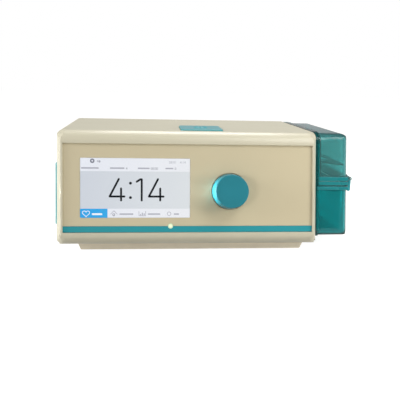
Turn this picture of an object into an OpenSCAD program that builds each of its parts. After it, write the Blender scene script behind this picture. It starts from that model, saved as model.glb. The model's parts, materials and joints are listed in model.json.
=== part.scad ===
// Bilevel airway pressure machine with a heated water chamber docked on its right side.
// Drawn in millimetres: X to the right, Y from the front to the back, Z up, feet on Z = 0.

/* [Case] */
// Width of the front frame, between the outer edges of its two lips
front_w = 222.2; // [212:0.2:232]
// How far each side swells out beyond the front frame
flank = 5.6; // [5:0.1:7]
// Depth over which the sides swell out
flank_depth = 20; // [17:1:22]
// Height of the case top above the table
case_top = 105.5; // [102:0.5:112]
// Height of the case underside above the table
case_floor = 8; // [7:0.5:9]
// Distance from the front foot of the fascia to the rear wall
case_back = 165; // [160:1:180]
// Angle by which the front leans back
lean = 12; // [9:0.5:14]
// Wall thickness of the case
wall = 2.5; // [2:0.1:3]
// Radius of the roll from the front over to the top
top_roll_r = 13; // [11:0.5:15]
// Radius of the roll from the front under to the underside
foot_roll_r = 9; // [7:0.5:9]
// Radius of the top edge at the back
back_roll_r = 9; // [6:0.5:12]
// Radius of the long edges of the case on the left and below
edge_r = 7; // [5:0.5:9]
// Radius of the top edge next to the water chamber
dock_edge_r = 3; // [2:0.5:4]
// Radius of the front's upper corners, which runs out along the top behind the front
shoulder_r = 12; // [10:0.5:12.5]
// How far the frame's lips stand proud of the fascia
lip_proud = 1.5; // [1:0.1:1.6]
// Width of the frame's side lips
lip_w = 1.6; // [1.4:0.1:2.4]

/* [Fascia] */
// Lower edge of the teal stripe, measured up the slope
stripe_v = 20.3; // [20:0.1:21]
// Height of the teal stripe
stripe_h = 5.3; // [4.5:0.1:5.5]
// Distance from the case top down to the upper edge of the fascia
fascia_drop = 10.8; // [10.4:0.1:11.4]
// Thickness of the fascia
fascia_t = 2.5; // [2:0.1:3]
// Left edge of the display window
display_x = 16.1; // [14:0.1:20]
// Width of the display window, the active width of a 4.3 inch panel
display_w = 95; // [90:0.5:98]
// Lower edge of the display window, measured up the slope
display_v = 32.9; // [32:0.1:34]
// Height of the display window
display_h = 51.8; // [50:0.1:53]
// Place of the status lamp along the stripe
lamp_x = 94; // [80:1:120]
// Radius of the status lamp
lamp_r = 2.2; // [1.5:0.1:2.4]

/* [Knob] */
// Distance of the knob's axis from the frame's left edge
knob_x = 146.2; // [144:0.1:160]
// Height of the knob's axis, measured up the slope
knob_v = 56.1; // [52:0.1:60]
// Radius of the knob at its foot
knob_foot_r = 15.6; // [13:0.1:17]
// Radius of the knob's flat face
knob_face_r = 13.8; // [12:0.1:14.5]
// How far the knob's face stands out from the fascia
knob_h = 14.6; // [12:0.1:18]
// Travel of the knob when it is pressed
knob_travel = 0.6; // [0.4:0.1:0.7]
// Radius of the encoder shaft
shaft_r = 3; // [2.5:0.1:3.2]

/* [Start button] */
// Side of the square start button
button_side = 38; // [34:0.5:40]
// Distance of the button's centre from the frame's left edge
button_x = 123; // [118:0.5:128]
// Distance of the button's centre from the front foot of the fascia
button_y = 53.5; // [52:0.5:58]
// How far the button stands above the case top
button_proud = 1.2; // [1:0.1:1.6]
// Travel of the button when it is pressed
button_travel = 1.5; // [1:0.1:1.6]
// Gap between the button and the case
button_gap = 0.4; // [0.35:0.05:0.6]

/* [Air filter] */
// Lowest edge of the filter cover above the table
cover_low = 22.4; // [20:0.1:24]
// Highest edge of the filter cover above the table
cover_high = 75.8; // [74:0.1:80]
// Front edge of the filter cover at its lowest point
cover_front = 23; // [22.5:0.5:26]
// Back edge of the filter cover
cover_back = 96; // [94:1:100]
// How far the filter cover stands out from the side of the case
cover_proud = 1.7; // [1.5:0.1:2.2]

/* [Water chamber] */
// Width of the water chamber, from the case's side to its outer wall
chamber_w = 34; // [30:0.2:38]
// Height of the chamber's underside above the table
chamber_floor = 11.5; // [10:0.5:13]
// Height of the chamber's top above the table
chamber_top = 103.8; // [101:0.2:104]
// How far the chamber's front lies behind the fascia
chamber_setback = 18; // [17:0.5:21]
// Back wall of the chamber
chamber_back = 158; // [152:1:162]
// Wall thickness of the chamber
chamber_wall = 2.2; // [1.8:0.1:2.6]
// Thickness of the chamber's back plate, which meets the case
plate_t = 4.8; // [4:0.1:5.2]
// Height of the joint between tub and lid above the table
joint_z = 56.4; // [52:0.2:60]
// How far the rims of tub and lid stand proud of the walls
rim_proud = 1.5; // [1.2:0.1:1.6]
// Height of the rim on the lid
lid_rim_h = 8.4; // [7.5:0.1:9]
// Height of the rim on the tub
tub_rim_h = 3.6; // [3:0.1:4]
// How far the latch stands out beyond the chamber's outer wall
latch_proud = 4.4; // [4.2:0.1:4.8]
// Angle by which the lid opens
lid_open = 95; // [60:5:95]

/* [Air path] */
// Radius of the outlet cone that the hose pushes onto
outlet_r = 11; // [11:0.05:11.1]
// Length of the outlet cone
outlet_len = 18; // [16:1:22]
// Radius of the impeller
impeller_r = 26; // [22:0.5:27]
// Distance of the blower's axis from the frame's left edge
blower_x = 66; // [64:1:70]
// Distance of the blower's axis from the front foot of the fascia
blower_y = 104; // [102:1:108]
// Inner radius of the pressure duct
duct_r = 8; // [7:0.5:8.5]
// Distance of the dock port from the front foot of the fascia
port_y = 124; // [122:1:128]
// Height of the dock port above the table
port_z = 80; // [76:1:82]

/* [Hidden] */

$fn = 64;
eps = 0.01;
far = 400;
slope = tan(lean);
side_x = front_w + flank;
chamber_x = side_x + chamber_w;
flank_r = (flank * flank + flank_depth * flank_depth) / (2 * flank);
fit_gap = 0.2;
seat_gap = 0.1;
run_gap = 0.4;
pin_gap = 0.06;

// Upper edge of the fascia, measured up the slope
fascia_top_v = (case_top - fascia_drop) / cos(lean);

// Front of the frame at the height where the rounding of its upper corners starts
shoulder_y = (case_top - shoulder_r) * slope - lip_proud / cos(lean);
shoulder_step = 9;

// Lower opening of the case, closed by the base tray
hatch_x = [30, front_w - 29];
hatch_y = [32, 148];
floor_top = case_floor + wall;
tray_t = 2.2;
plinth_x = [12, front_w - 5.2];
plinth_y = [16.5, 154];
plinth_low = 0.6;
plinth_taper = 3;
plinth_wall = 3;
foot_r = 6;
foot_h = 1.6;
foot_x = [36, front_w - 33];
foot_y = [30, 142];
screw_x = [22, front_w - 21];
screw_y = [40, 142];
screw_r = 1.5;
screw_head_r = 3.1;
screw_head_h = 1.2;
boss_r = 4.5;
boss_h = 10;

// Display, board and encoder, as distances behind the fascia's face
lcd_t = 4;
lcd_rim = 4;
board_back = 14;
board_t = 1.6;
board_x = [4, front_w - 16];
board_v = [display_v - 3, fascia_top_v - 11];
board_post_r = 3;
board_post_x = [board_x[0] + board_post_r, board_x[1] - 4];
board_post_v = [board_v[0] + 4, board_v[1] - 4];
chip = [14, 14, 2.2];
chip_step = 26;
plug_size = [24, 12, 6];
encoder_side = 14;
encoder_front = 5.9;
plunger_t = 1;
recess_depth = 1;
knob_edge = 1.4;
knob_break = 0.3;
knob_wall = 2;
shaft_out = 10.5;

// Start button parts
button_wall = 2;
button_z = case_top + button_proud;
button_rim_t = 1.6;
button_floor = case_top - wall - button_rim_t;
collar_low = case_top - 13.9;
collar_wall = 2;
button_rim = 1.6;
switch_side = 6;
switch_h = 5;
symbol_r = 6.4;
symbol_line = 1.2;
symbol_h = 0.4;

// Filter, muffler and blower
muffler_wall = 2;
filter_set_back = 6.5;
plenum_x = 30;
muffler_x = 98;
muffler_y = [44, 148];
blower_z = [24, 40, 56];
muffler_z = [blower_z[2] + 8, case_top - wall - 5];
plenum_w = 18;
neck_r = 14.6;
blower_wall = 3;
motor_r = 14;
motor_low = 12;
motor_shaft_r = 1.5;
blade_n = 11;
blade_t = 1.4;
blade_h = 9;
rim_plate_t = 2;
hub_r = 6;
hub_h = blade_h + rim_plate_t + 0.5;
scroll_wall = 3;
scroll_gap = 2;
scroll_r = impeller_r + scroll_gap + scroll_wall;
neck_half = duct_r + 2;
mount_ring_r = scroll_r + 5;
mount_r = 4.5;
mount_angles = [90, 210, 330];
duct_wall = 2.5;
duct_turn_x = side_x - 37.8;
sensor_len = 24;
sensor_half_w = 9;
sensor_h = 8;
sensor_x = duct_turn_x - 58;
duct_z = blower_z[1];
duct_start = blower_x + scroll_r + 6;

// Dock on the right side of the case
dock_y = [46, 146];
dock_z = [16, 96];
dock_flange = 3;
heater_y = [52, 106];
heater_z = [21, 49];
carrier_depth = 14;
carrier_wall = 2;
peg_r = 3;
peg_len = 14;
peg_at = [[56, 87], [138, 30]];
dock_seal_wall = 3;
spigot_r = 9;
spigot_len = 6.5;
seal_start = side_x - spigot_len - dock_seal_wall;

// Chamber details
seal_w = 0.6;
chamber_face_x = side_x + plate_t + seal_w;
back_corner_r = 8;
chamber_edge_r = 7.6;
chamber_foot_r = 5.6;
chamber_side_foot_r = 6.8;
chamber_back_r = 4.4;
chamber_back_corner_r = 6;
chamber_corner_r = 9.5;
chamber_roll_r = 10;
plate_grow = 1.4;
seal_t = 0.6;
flange_t = 1.6;
flange_w = 3.2;
hinge_x = chamber_face_x;
hinge_z = chamber_top - 0.2;
knuckle_r = 1.6;
hinge_pin_r = 0.8;
knuckle_gap = 0.5;
lid_knuckles = [[66, 82], [100, 116], [134, 150]];
tub_knuckles = [[82, 100], [116, 134]];
latch_y = [38, 128];
latch_t = 2.4;
latch_axis_x = chamber_x + latch_proud - latch_t / 2;
latch_axis_z = joint_z + seal_t + 5.5;
latch_pin_r = 0.7;
latch_low = 50;
tooth_top = joint_z - tub_rim_h - 0.7;
outlet_x = side_x + 18.3;
outlet_z = 88;
outlet_wall = 2.2;
baffle_t = 1.6;
baffle_left_z = outlet_z - outlet_r + outlet_wall - 0.3;
baffle_fall = 3.6;
baffle_gap_y = [56, 88];

// Middle of the whole machine, which becomes the origin
left_end = -flank - cover_proud;
right_end = chamber_x + latch_proud;
front_end = (knob_v - knob_face_r + knob_break) * sin(lean) - knob_h * cos(lean);
back_end = chamber_back + outlet_len;

// Y of the frame's front plane at height z, with the surface moved inwards by inset
function front_y(z, inset) = z * slope + (inset - lip_proud) / cos(lean);

module placed() {
    translate([-(left_end + right_end) / 2, -(front_end + back_end) / 2, 0])
        children();
}

// Frame on the sloping fascia: x across, y up the slope, z straight out
module on_fascia(u, v) {
    translate([u, v * sin(lean), v * cos(lean)])
        rotate([90 - lean, 0, 0])
            children();
}

// A flat outline drawn in Y and Z, from x0 to x1
module along_x(x0, x1) {
    translate([x0, 0, 0])
        rotate([90, 0, 90])
            linear_extrude(x1 - x0)
                children();
}

// A flat outline drawn in X and Z, from y0 to y1
module along_y(y0, y1) {
    translate([0, y1, 0])
        rotate([90, 0, 0])
            linear_extrude(y1 - y0)
                children();
}

// A block between two opposite corners
module block(low, high) {
    translate(low)
        cube(high - low);
}

// A rectangle with its own radius at each corner: lower left, lower right, upper right, upper left
module soft_rect(low, high, r) {
    soft_quad([low, [high[0], low[1]], high, [low[0], high[1]]], r);
}

// A four-sided outline, drawn anticlockwise, with its own radius at each corner
module soft_quad(p, r) {
    difference() {
        polygon(p);
        for (i = [0:3])
            if (r[i] > 0.05)
                corner_cut(p[i], unit(p[(i + 3) % 4] - p[i]), unit(p[(i + 1) % 4] - p[i]), r[i]);
    }
}

function unit(v) = v / norm(v);

// What is cut off a corner between the edges that leave it towards before and after
module corner_cut(at, before, after, r) {
    half = acos(before * after) / 2;
    reach = r / tan(half);
    centre = at + unit(before + after) * r / sin(half);
    out_before = unit(at + reach * before - centre);
    out_after = unit(at + reach * after - centre);
    difference() {
        polygon([centre, at + reach * before + eps * out_before,
                 at + eps * (out_before + out_after) / (1 + out_before * out_after),
                 at + reach * after + eps * out_after]);
        translate(centre)
            circle(r);
    }
}

// Side view of a shell whose front leans back, with its radii at the foot, back and top
module leaning_profile(front, low, high, back, low_r, back_low_r, back_high_r, high_r) {
    soft_quad([[front + low * slope, low], [back, low], [back, high], [front + high * slope, high]],
              [low_r, back_low_r, back_high_r, high_r]);
}

// Outline of the front corners seen along the slope, swelling out to the sides
module flank_plan(inset) {
    difference() {
        translate([-flank + inset, inset])
            square([front_w + 2 * flank - 2 * inset, far]);
        flank_cut(inset);
        translate([front_w, 0])
            mirror([1, 0])
                flank_cut(inset);
    }
}

module flank_cut(inset) {
    difference() {
        translate([-flank - 2, -eps])
            square([flank_r + 2, flank_depth + eps]);
        translate([flank_r - flank, flank_depth])
            circle(flank_r - inset);
    }
}

// What rounds the front's upper right corner, running outwards with the side's first slant
module shoulder_cut(inset) {
    turn = asin(flank_depth / flank_r) + 0.5;
    r = shoulder_r - inset;
    outer = shoulder_r + wall;
    translate([front_w, shoulder_y, case_top - shoulder_r])
        rotate([0, 0, -turn])
            translate([-shoulder_r, 0, 0])
                along_y(-10, 60)
                    polygon(concat([for (a = [0:shoulder_step:90]) [r * cos(a), r * sin(a)]],
                                   [[0, outer], [outer, outer], [outer, 0]]));
}

// Outer form of the case, moved inwards by inset
module case_form(inset) {
    difference() {
        case_block(inset);
        shoulder_cut(inset);
        translate([front_w, 0, 0])
            mirror([1, 0, 0])
                shoulder_cut(inset);
    }
}

module case_block(inset) {
    intersection() {
        along_x(-flank - 1, side_x + 1)
            leaning_profile((inset - lip_proud) / cos(lean), case_floor + inset, case_top - inset,
                            case_back - inset, foot_roll_r - inset, edge_r - inset,
                            back_roll_r - inset, top_roll_r - inset);
        along_y(-far / 4, far)
            soft_rect([-flank + inset, case_floor + inset], [side_x - inset, case_top - inset],
                      [edge_r - inset, edge_r - inset, max(dock_edge_r - inset, 0.4), edge_r - inset]);
        on_fascia(0, -60)
            translate([0, 0, lip_proud])
                rotate([-90, 0, 0])
                    linear_extrude(far)
                        flank_plan(inset);
        linear_extrude(far)
            soft_rect([-flank + inset, -far / 4], [side_x - inset, case_back - inset],
                      [0, 0, back_corner_r - inset, back_corner_r - inset]);
    }
}

// Outline of the filter cover seen from the side, with its front edge parallel to the fascia
module cover_outline(inset, set_back = 0) {
    low = cover_low + inset;
    high = cover_high - inset;
    front = cover_front + inset + set_back;
    polygon([[front, low], [cover_back - inset, low], [cover_back - inset, high],
             [front + (high - low) * slope, high]]);
}

module upper_case() {
    color("#d8d0b8") {
        difference() {
            union() {
                difference() {
                    case_form(0);
                    case_form(wall);
                }
                intersection() {
                    case_form(wall / 2);
                    union() {
                        for (x = screw_x, y = screw_y)
                            translate([x, y, case_floor + wall / 2])
                                cylinder(r = boss_r, h = boss_h);
                        button_collar();
                    }
                }
                cover_ears();
            }
            on_fascia(0, 0)
                block([lip_w, stripe_v - fit_gap, -wall - 2],
                      [front_w - lip_w, fascia_top_v + fit_gap, 10]);
            block([hatch_x[0], hatch_y[0], 0], [hatch_x[1], hatch_y[1], floor_top + 1]);
            for (x = screw_x, y = screw_y)
                translate([x, y, 0])
                    cylinder(r = screw_r, h = case_floor + boss_h);
            button_shape(button_gap, collar_low + 3, far);
            along_x(-far / 2, 0)
                cover_outline(5, filter_set_back);
            block([side_x - 5, dock_y[0] - fit_gap, dock_z[0] - fit_gap],
                  [side_x + 5, dock_y[1] + fit_gap, dock_z[1] + fit_gap]);
            translate([inlet_x, case_back - 10, inlet_z])
                rotate([-90, 0, 0])
                    cylinder(r = inlet_nose_r + fit_gap, h = 20);
        }
    }
}

// Walls under the case top that carry the start button's board
module button_collar() {
    half = button_side / 2 + button_rim + run_gap;
    outer = half + collar_wall;
    difference() {
        block([button_x - outer, button_y - outer, collar_low],
              [button_x + outer, button_y + outer, case_top]);
        block([button_x - half, button_y - half, collar_low - 1],
              [button_x + half, button_y + half, case_top - wall]);
    }
}

// The start button's outline grown by grow, from z0 to z1
module button_shape(grow, z0, z1) {
    half = button_side / 2 + grow;
    translate([button_x, button_y, z0])
        linear_extrude(z1 - z0)
            soft_rect([-half, -half], [half, half], [2.5, 2.5, 2.5, 2.5]);
}

module base_tray() {
    inside = plinth_taper + plinth_wall;
    color("#cfc6ad") {
        difference() {
            union() {
                block([hatch_x[0] + run_gap, hatch_y[0] + run_gap, case_floor - 1],
                      [hatch_x[1] - run_gap, hatch_y[1] - run_gap, floor_top]);
                along_y(plinth_y[0], plinth_y[1])
                    polygon([[plinth_x[0] + plinth_taper, plinth_low],
                             [plinth_x[1] - plinth_taper, plinth_low],
                             [plinth_x[1], case_floor], [plinth_x[0], case_floor]]);
            }
            difference() {
                block([plinth_x[0] + inside, plinth_y[0] + plinth_wall, 0],
                      [plinth_x[1] - inside, plinth_y[1] - plinth_wall, case_floor - tray_t]);
                for (x = foot_x, y = foot_y)
                    translate([x, y, foot_h])
                        cylinder(r = foot_r + 2, h = case_floor);
            }
            block([hatch_x[0] + 16, hatch_y[0] + 16, 0],
                  [hatch_x[1] - 16, hatch_y[1] - 16, floor_top - tray_t]);
            for (x = foot_x, y = foot_y)
                translate([x, y, -1])
                    cylinder(r = foot_r, h = foot_h + 1);
            for (x = screw_x, y = screw_y) {
                translate([x, y, 0])
                    cylinder(r = screw_r + fit_gap, h = case_floor + 1);
                translate([x, y, 0])
                    cylinder(r = screw_head_r + fit_gap, h = case_floor - tray_t);
            }
        }
        for (x = power_post_x, y = power_post_y)
            translate([x, y, floor_top - 0.5])
                cylinder(r = 3, h = power_z - floor_top + 0.5);
    }
}

module rubber_feet() {
    color("#3b3f40")
        for (x = foot_x, y = foot_y)
            translate([x, y, 0])
                cylinder(r = foot_r, h = foot_h);
}

module case_screws() {
    color("#b9bdc0")
        for (x = screw_x, y = screw_y)
            translate([x, y, case_floor - tray_t - screw_head_h]) {
                difference() {
                    cylinder(r = screw_head_r, h = screw_head_h);
                    translate([0, 0, -eps])
                        cylinder(r = 1.2, h = 0.8);
                }
                cylinder(r = screw_r, h = screw_head_h + tray_t + boss_h - 2);
            }
}

module fascia_panel() {
    low = stripe_v + stripe_h + seat_gap;
    color("#c3b89c")
        on_fascia(0, 0)
            difference() {
                union() {
                    block([lip_w + fit_gap, low, -fascia_t],
                          [front_w - lip_w - fit_gap, fascia_top_v, 0]);
                    block([lip_w + fit_gap, stripe_v - 1.2, -fascia_t],
                          [front_w - lip_w - fit_gap, fascia_top_v + 0.6,
                           -wall + lip_proud - seat_gap]);
                    for (x = board_post_x, v = board_post_v)
                        translate([x, v, -board_back + board_t])
                            cylinder(r = board_post_r, h = board_back - board_t - 1);
                }
                block([display_x, display_v, -fascia_t - 1],
                      [display_x + display_w, display_v + display_h, 1]);
                translate([knob_x, knob_v, -recess_depth])
                    cylinder(r = knob_foot_r + 0.7, h = 10);
                translate([knob_x, knob_v, -fascia_t - 1])
                    cylinder(r = shaft_r + 1.2, h = 10);
                translate([lamp_x, stripe_v + stripe_h, -fascia_t - 1])
                    cylinder(r = lamp_r + seat_gap, h = 10);
            }
}

module trim_stripe() {
    color("#35939b")
        on_fascia(0, 0)
            difference() {
                block([lip_w + fit_gap, stripe_v, -wall + lip_proud],
                      [front_w - lip_w - fit_gap, stripe_v + stripe_h, 0.3]);
                translate([lamp_x, stripe_v + stripe_h, -5])
                    cylinder(r = lamp_r + seat_gap, h = 10);
            }
}

module status_lamp() {
    color("#f2efc4")
        on_fascia(lamp_x, stripe_v + stripe_h)
            translate([0, 0, -fascia_t - 2])
                cylinder(r = lamp_r, h = fascia_t + 2.4);
}

module display_window() {
    color([0.86, 0.9, 0.95, 0.5])
        on_fascia(display_x, display_v)
            block([seat_gap, seat_gap, -fascia_t + 0.05],
                  [display_w - seat_gap, display_h - seat_gap, 0]);
}

module lcd_module() {
    color("#2b3036")
        on_fascia(display_x, display_v)
            block([-lcd_rim, -lcd_rim, -fascia_t - seat_gap - lcd_t],
                  [display_w + lcd_rim, display_h + lcd_rim, -fascia_t - seat_gap]);
}

module control_board() {
    color("#2f6b46")
        on_fascia(0, 0) {
            difference() {
                block([board_x[0], board_v[0], -board_back],
                      [board_x[1], board_v[1], -board_back + board_t]);
                for (x = board_post_x, v = board_post_v)
                    translate([x, v, -board_back - 1])
                        cylinder(r = board_post_r / 2, h = board_t + 2);
            }
            for (i = [0:2])
                translate([board_x[0] + chip_step * (i + 1), display_v + 11, -board_back - chip[2]])
                    cube(chip);
            translate([display_x + display_w, board_v[1] - 20, -board_back - plug_size[2]])
                cube(plug_size);
        }
}

module encoder_body() {
    half = encoder_side / 2;
    color("#9aa1a6")
        on_fascia(knob_x, knob_v)
            difference() {
                union() {
                    block([-half, -half, -board_back + board_t], [half, half, -encoder_front]);
                    translate([0, 0, -encoder_front - 1])
                        cylinder(r = 4.6, h = encoder_front - fascia_t + 1 - seat_gap);
                }
                translate([0, 0, -board_back + board_t + 1])
                    cylinder(r = shaft_r + 0.35, h = 20);
            }
}

plunger_low = -board_back + board_t + 1 + knob_travel + 0.4;

module encoder_plunger() {
    color("#5c6166")
        on_fascia(knob_x, knob_v)
            translate([0, 0, plunger_low])
                cylinder(r = shaft_r, h = plunger_t);
}

module encoder_shaft() {
    low = plunger_low + plunger_t;
    color("#b4babd")
        on_fascia(knob_x, knob_v)
            difference() {
                translate([0, 0, low])
                    cylinder(r = shaft_r, h = shaft_out - low);
                block([-5, shaft_r - 1, 3], [5, shaft_r + 1, shaft_out + 1]);
            }
}

module control_knob() {
    low = -0.2;
    inner_r = knob_foot_r - knob_wall;
    color("#34828d")
        on_fascia(knob_x, knob_v)
            difference() {
                rotate_extrude()
                    polygon([[0, low], [knob_foot_r, low],
                             [knob_face_r + knob_edge * 0.45, knob_h - knob_edge],
                             [knob_face_r, knob_h - knob_break],
                             [knob_face_r - knob_break, knob_h], [0, knob_h]]);
                difference() {
                    translate([0, 0, -1])
                        cylinder(r = inner_r - 1, h = knob_h - knob_wall - 0.5);
                    cylinder(r = shaft_r + 2, h = knob_h);
                    for (a = [0:60:300])
                        rotate([0, 0, a])
                            block([0, -0.6, 2], [inner_r, 0.6, knob_h]);
                }
                difference() {
                    translate([0, 0, -1])
                        cylinder(r = shaft_r + 0.02, h = shaft_out + 1);
                    block([-5, shaft_r - 1 + 0.02, 3], [5, shaft_r + 1, shaft_out + 1]);
                }
                translate([0, 0, -1])
                    cylinder(r = shaft_r + 2.1, h = 1.6);
            }
}

module start_button() {
    color("#5fb0bf") {
        difference() {
            union() {
                button_shape(0, button_floor, button_z);
                button_shape(button_rim, button_floor, case_top - wall - seat_gap);
            }
            button_shape(-button_wall, button_floor - 1, button_z - button_wall);
        }
        translate([button_x, button_y, switch_top + button_travel + 0.1])
            cylinder(r = 3, h = button_z - 1 - switch_top - button_travel);
        translate([button_x, button_y, button_z - 0.1])
            power_symbol();
    }
}

// Broken ring with a bar in its gap
module power_symbol() {
    linear_extrude(symbol_h + 0.1) {
        difference() {
            circle(symbol_r);
            circle(symbol_r - symbol_line);
            translate([-2.4, 0])
                square([4.8, symbol_r + 1]);
        }
        translate([-symbol_line / 2, 1.2])
            square([symbol_line, symbol_r]);
    }
}

switch_top = collar_low + switch_h;

module button_board() {
    half = button_side / 2 + button_rim + run_gap + collar_wall - 1;
    color("#2f6b46")
        block([button_x - half, button_y - half + 3, collar_low - 1.6],
              [button_x + half, button_y + half, collar_low]);
}

module button_switch() {
    half = switch_side / 2;
    color("#30343a") {
        block([button_x - half, button_y - half, collar_low],
              [button_x + half, button_y + half, switch_top - 1.2]);
        translate([button_x, button_y, switch_top - 1.3])
            cylinder(r = 1.7, h = 1.3);
    }
}

// Hinge line of the filter cover along its lower edge
cover_t = cover_proud - seat_gap;
cover_axis_x = left_end + cover_t / 2;
cover_axis_z = cover_low + cover_t / 2;
cover_pin_r = 0.4;
ear_w = 4;
ear_y = [46, 78];

// Ears on the side of the case that carry the filter cover's pins
module cover_ears() {
    half = cover_t / 2 - 0.1;
    for (y = ear_y) {
        block([cover_axis_x, y, cover_axis_z - half], [-flank + 1, y + ear_w, cover_axis_z + half]);
        translate([cover_axis_x, y - 1.4, cover_axis_z])
            rotate([-90, 0, 0])
                cylinder(r = cover_pin_r, h = ear_w + 2.8);
    }
}

module filter_cover() {
    hook_z = cover_high - 5 - 2.4;
    color("#8fd3de")
        difference() {
            union() {
                intersection() {
                    along_x(left_end - 1, 0)
                        cover_outline(0);
                    along_y(0, far / 2)
                        soft_rect([left_end, cover_low], [left_end + cover_t, cover_high],
                                  [cover_t / 2 - 0.05, cover_t / 2 - 0.05, 0.3, 0.9]);
                }
                block([left_end + cover_t - 0.5, 60, hook_z], [-flank + 1.6, 72, hook_z + 1.6]);
            }
            for (y = ear_y) {
                block([left_end - 1, y - run_gap, cover_low - 1],
                      [0, y + ear_w + run_gap, cover_low + cover_t + 0.6]);
                translate([cover_axis_x, y - 2.2, cover_axis_z])
                    rotate([-90, 0, 0])
                        cylinder(r = cover_pin_r + pin_gap, h = ear_w + 4.4);
            }
            for (z = [32:6:56])
                block([left_end - 1, 52, z], [0, 88, z + 2.6]);
        }
}

module filter_foam() {
    color("#4a5a5e")
        along_x(-flank + 3, 5)
            cover_outline(5.4, filter_set_back);
}

module inlet_muffler() {
    w = muffler_wall;
    color("#b8bcbd")
        difference() {
            union() {
                along_x(-flank + wall + seat_gap, plenum_x)
                    cover_outline(3, filter_set_back);
                block([plenum_x - plenum_w, muffler_y[0], muffler_z[0] - 14],
                      [plenum_x, cover_back - 3, muffler_z[1]]);
                block([plenum_x - plenum_w, muffler_y[0], muffler_z[0]],
                      [muffler_x, muffler_y[1], muffler_z[1]]);
            }
            along_x(-flank, plenum_x - w)
                cover_outline(3 + w, filter_set_back);
            block([plenum_x - plenum_w + w, muffler_y[0] + w, muffler_z[0] - 4],
                  [plenum_x - w, cover_back - 3 - w, muffler_z[1] - w]);
            block([plenum_x - plenum_w + w, muffler_y[0] + w, muffler_z[0] + w],
                  [muffler_x - w, muffler_y[1] - w, muffler_z[1] - w]);
            translate([blower_x, blower_y, 0])
                cylinder(r = neck_r + run_gap, h = muffler_z[0] + 5);
        }
}

module muffler_foam() {
    w = muffler_wall + seat_gap;
    color("#5a6468")
        difference() {
            block([plenum_x + 6, muffler_y[0] + w, muffler_z[0] + w],
                  [muffler_x - w, muffler_y[1] - w, muffler_z[1] - w]);
            translate([blower_x, blower_y, 0])
                cylinder(r = neck_r + 3.4, h = muffler_z[1] - 8);
            block([0, muffler_y[0] + 12, muffler_z[0] + 10], [blower_x, blower_y, muffler_z[1] - 8]);
        }
}

// Outline of the blower's scroll, moved inwards by inset, with its outlet neck on the right
module scroll(inset) {
    half = neck_half - inset;
    circle(scroll_r - inset);
    translate([3, 3])
        circle(scroll_r - inset - 0.5);
    translate([0, port_y - blower_y - half])
        square([duct_start - blower_x, 2 * half]);
}

module blower_half(z0, z1, floor_z) {
    difference() {
        translate([blower_x, blower_y, z0])
            linear_extrude(z1 - z0)
                scroll(0);
        translate([blower_x, blower_y, floor_z])
            linear_extrude(far)
                scroll(scroll_wall);
    }
}

module blower_base() {
    color("#d7dadb")
        difference() {
            union() {
                blower_half(blower_z[0], blower_z[1], blower_z[0] + blower_wall);
                for (a = mount_angles)
                    difference() {
                        translate([blower_x, blower_y, blower_z[0]])
                            rotate([0, 0, a]) {
                                translate([mount_ring_r, 0, 0])
                                    cylinder(r = mount_r, h = blower_wall);
                                block([hub_r, -mount_r, 0], [mount_ring_r, mount_r, blower_wall]);
                            }
                        translate([blower_x, blower_y, 0])
                            cylinder(r = scroll_r - 1, h = blower_z[1]);
                    }
            }
            translate([blower_x, blower_y, 0])
                cylinder(r = motor_shaft_r + 0.5, h = blower_z[1]);
            port_neck(duct_r);
        }
}

module blower_cover() {
    color("#c9cdcf")
        difference() {
            union() {
                translate([0, 0, blower_z[1] + blower_z[2]])
                    mirror([0, 0, 1])
                        blower_half(blower_z[1], blower_z[2], blower_z[1] + blower_wall);
                translate([blower_x, blower_y, blower_z[2] - 1])
                    cylinder(r = neck_r, h = muffler_z[0] - blower_z[2] + 3);
            }
            translate([blower_x, blower_y, blower_z[1]])
                cylinder(r = neck_r - 2.2, h = far);
            port_neck(duct_r);
        }
}

// Bore through the end of the blower's neck
module port_neck(r) {
    translate([duct_start - neck_half, port_y, duct_z])
        rotate([0, 90, 0])
            cylinder(r = r, h = 2 * neck_half);
}

module blower_motor() {
    color("#8c9296")
        translate([blower_x, blower_y, motor_low])
            difference() {
                cylinder(r = motor_r, h = blower_z[0] - motor_low);
                translate([0, 0, 3])
                    cylinder(r = motor_shaft_r + 0.5, h = blower_z[0]);
            }
}

module motor_shaft() {
    color("#c5cacd")
        translate([blower_x, blower_y, motor_low + 3.5])
            cylinder(r = motor_shaft_r, h = blower_z[2] - 8 - motor_low - 3.5);
}

module impeller() {
    low = blower_z[0] + blower_wall + 2;
    color("#e6e8e8")
        translate([blower_x, blower_y, low])
            difference() {
                union() {
                    cylinder(r = impeller_r, h = rim_plate_t);
                    cylinder(r = hub_r, h = hub_h);
                    for (i = [0:blade_n - 1])
                        rotate([0, 0, i * 360 / blade_n])
                            blade(impeller_r - 1);
                }
                translate([0, 0, -1])
                    cylinder(r = motor_shaft_r + 0.02, h = hub_h + 2);
            }
}

// One blade, bent backwards in two flat runs from the hub to the rim
module blade(tip) {
    bend = tip * 0.62;
    turn = 24;
    out = [bend * cos(turn), bend * sin(turn)];
    end = [tip * cos(2.4 * turn), tip * sin(2.4 * turn)];
    start = [hub_r - 1, 0];
    side = blade_t / 2;
    n0 = [-sin(turn * 1.4), cos(turn * 1.4)] * side;
    n1 = [-sin(turn * 2.4), cos(turn * 2.4)] * side;
    n2 = [-sin(turn * 3.4), cos(turn * 3.4)] * side;
    translate([0, 0, rim_plate_t / 2])
        linear_extrude(blade_h)
            polygon([start - n0, out - n1, end - n2, end + n2, out + n1, start + n0]);
}

module blower_mounts() {
    color("#4b5052")
        for (a = mount_angles)
            translate([blower_x, blower_y, floor_top])
                rotate([0, 0, a])
                    translate([mount_ring_r, 0, 0])
                        cylinder(r = mount_r, h = blower_z[0] - floor_top);
}

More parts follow.
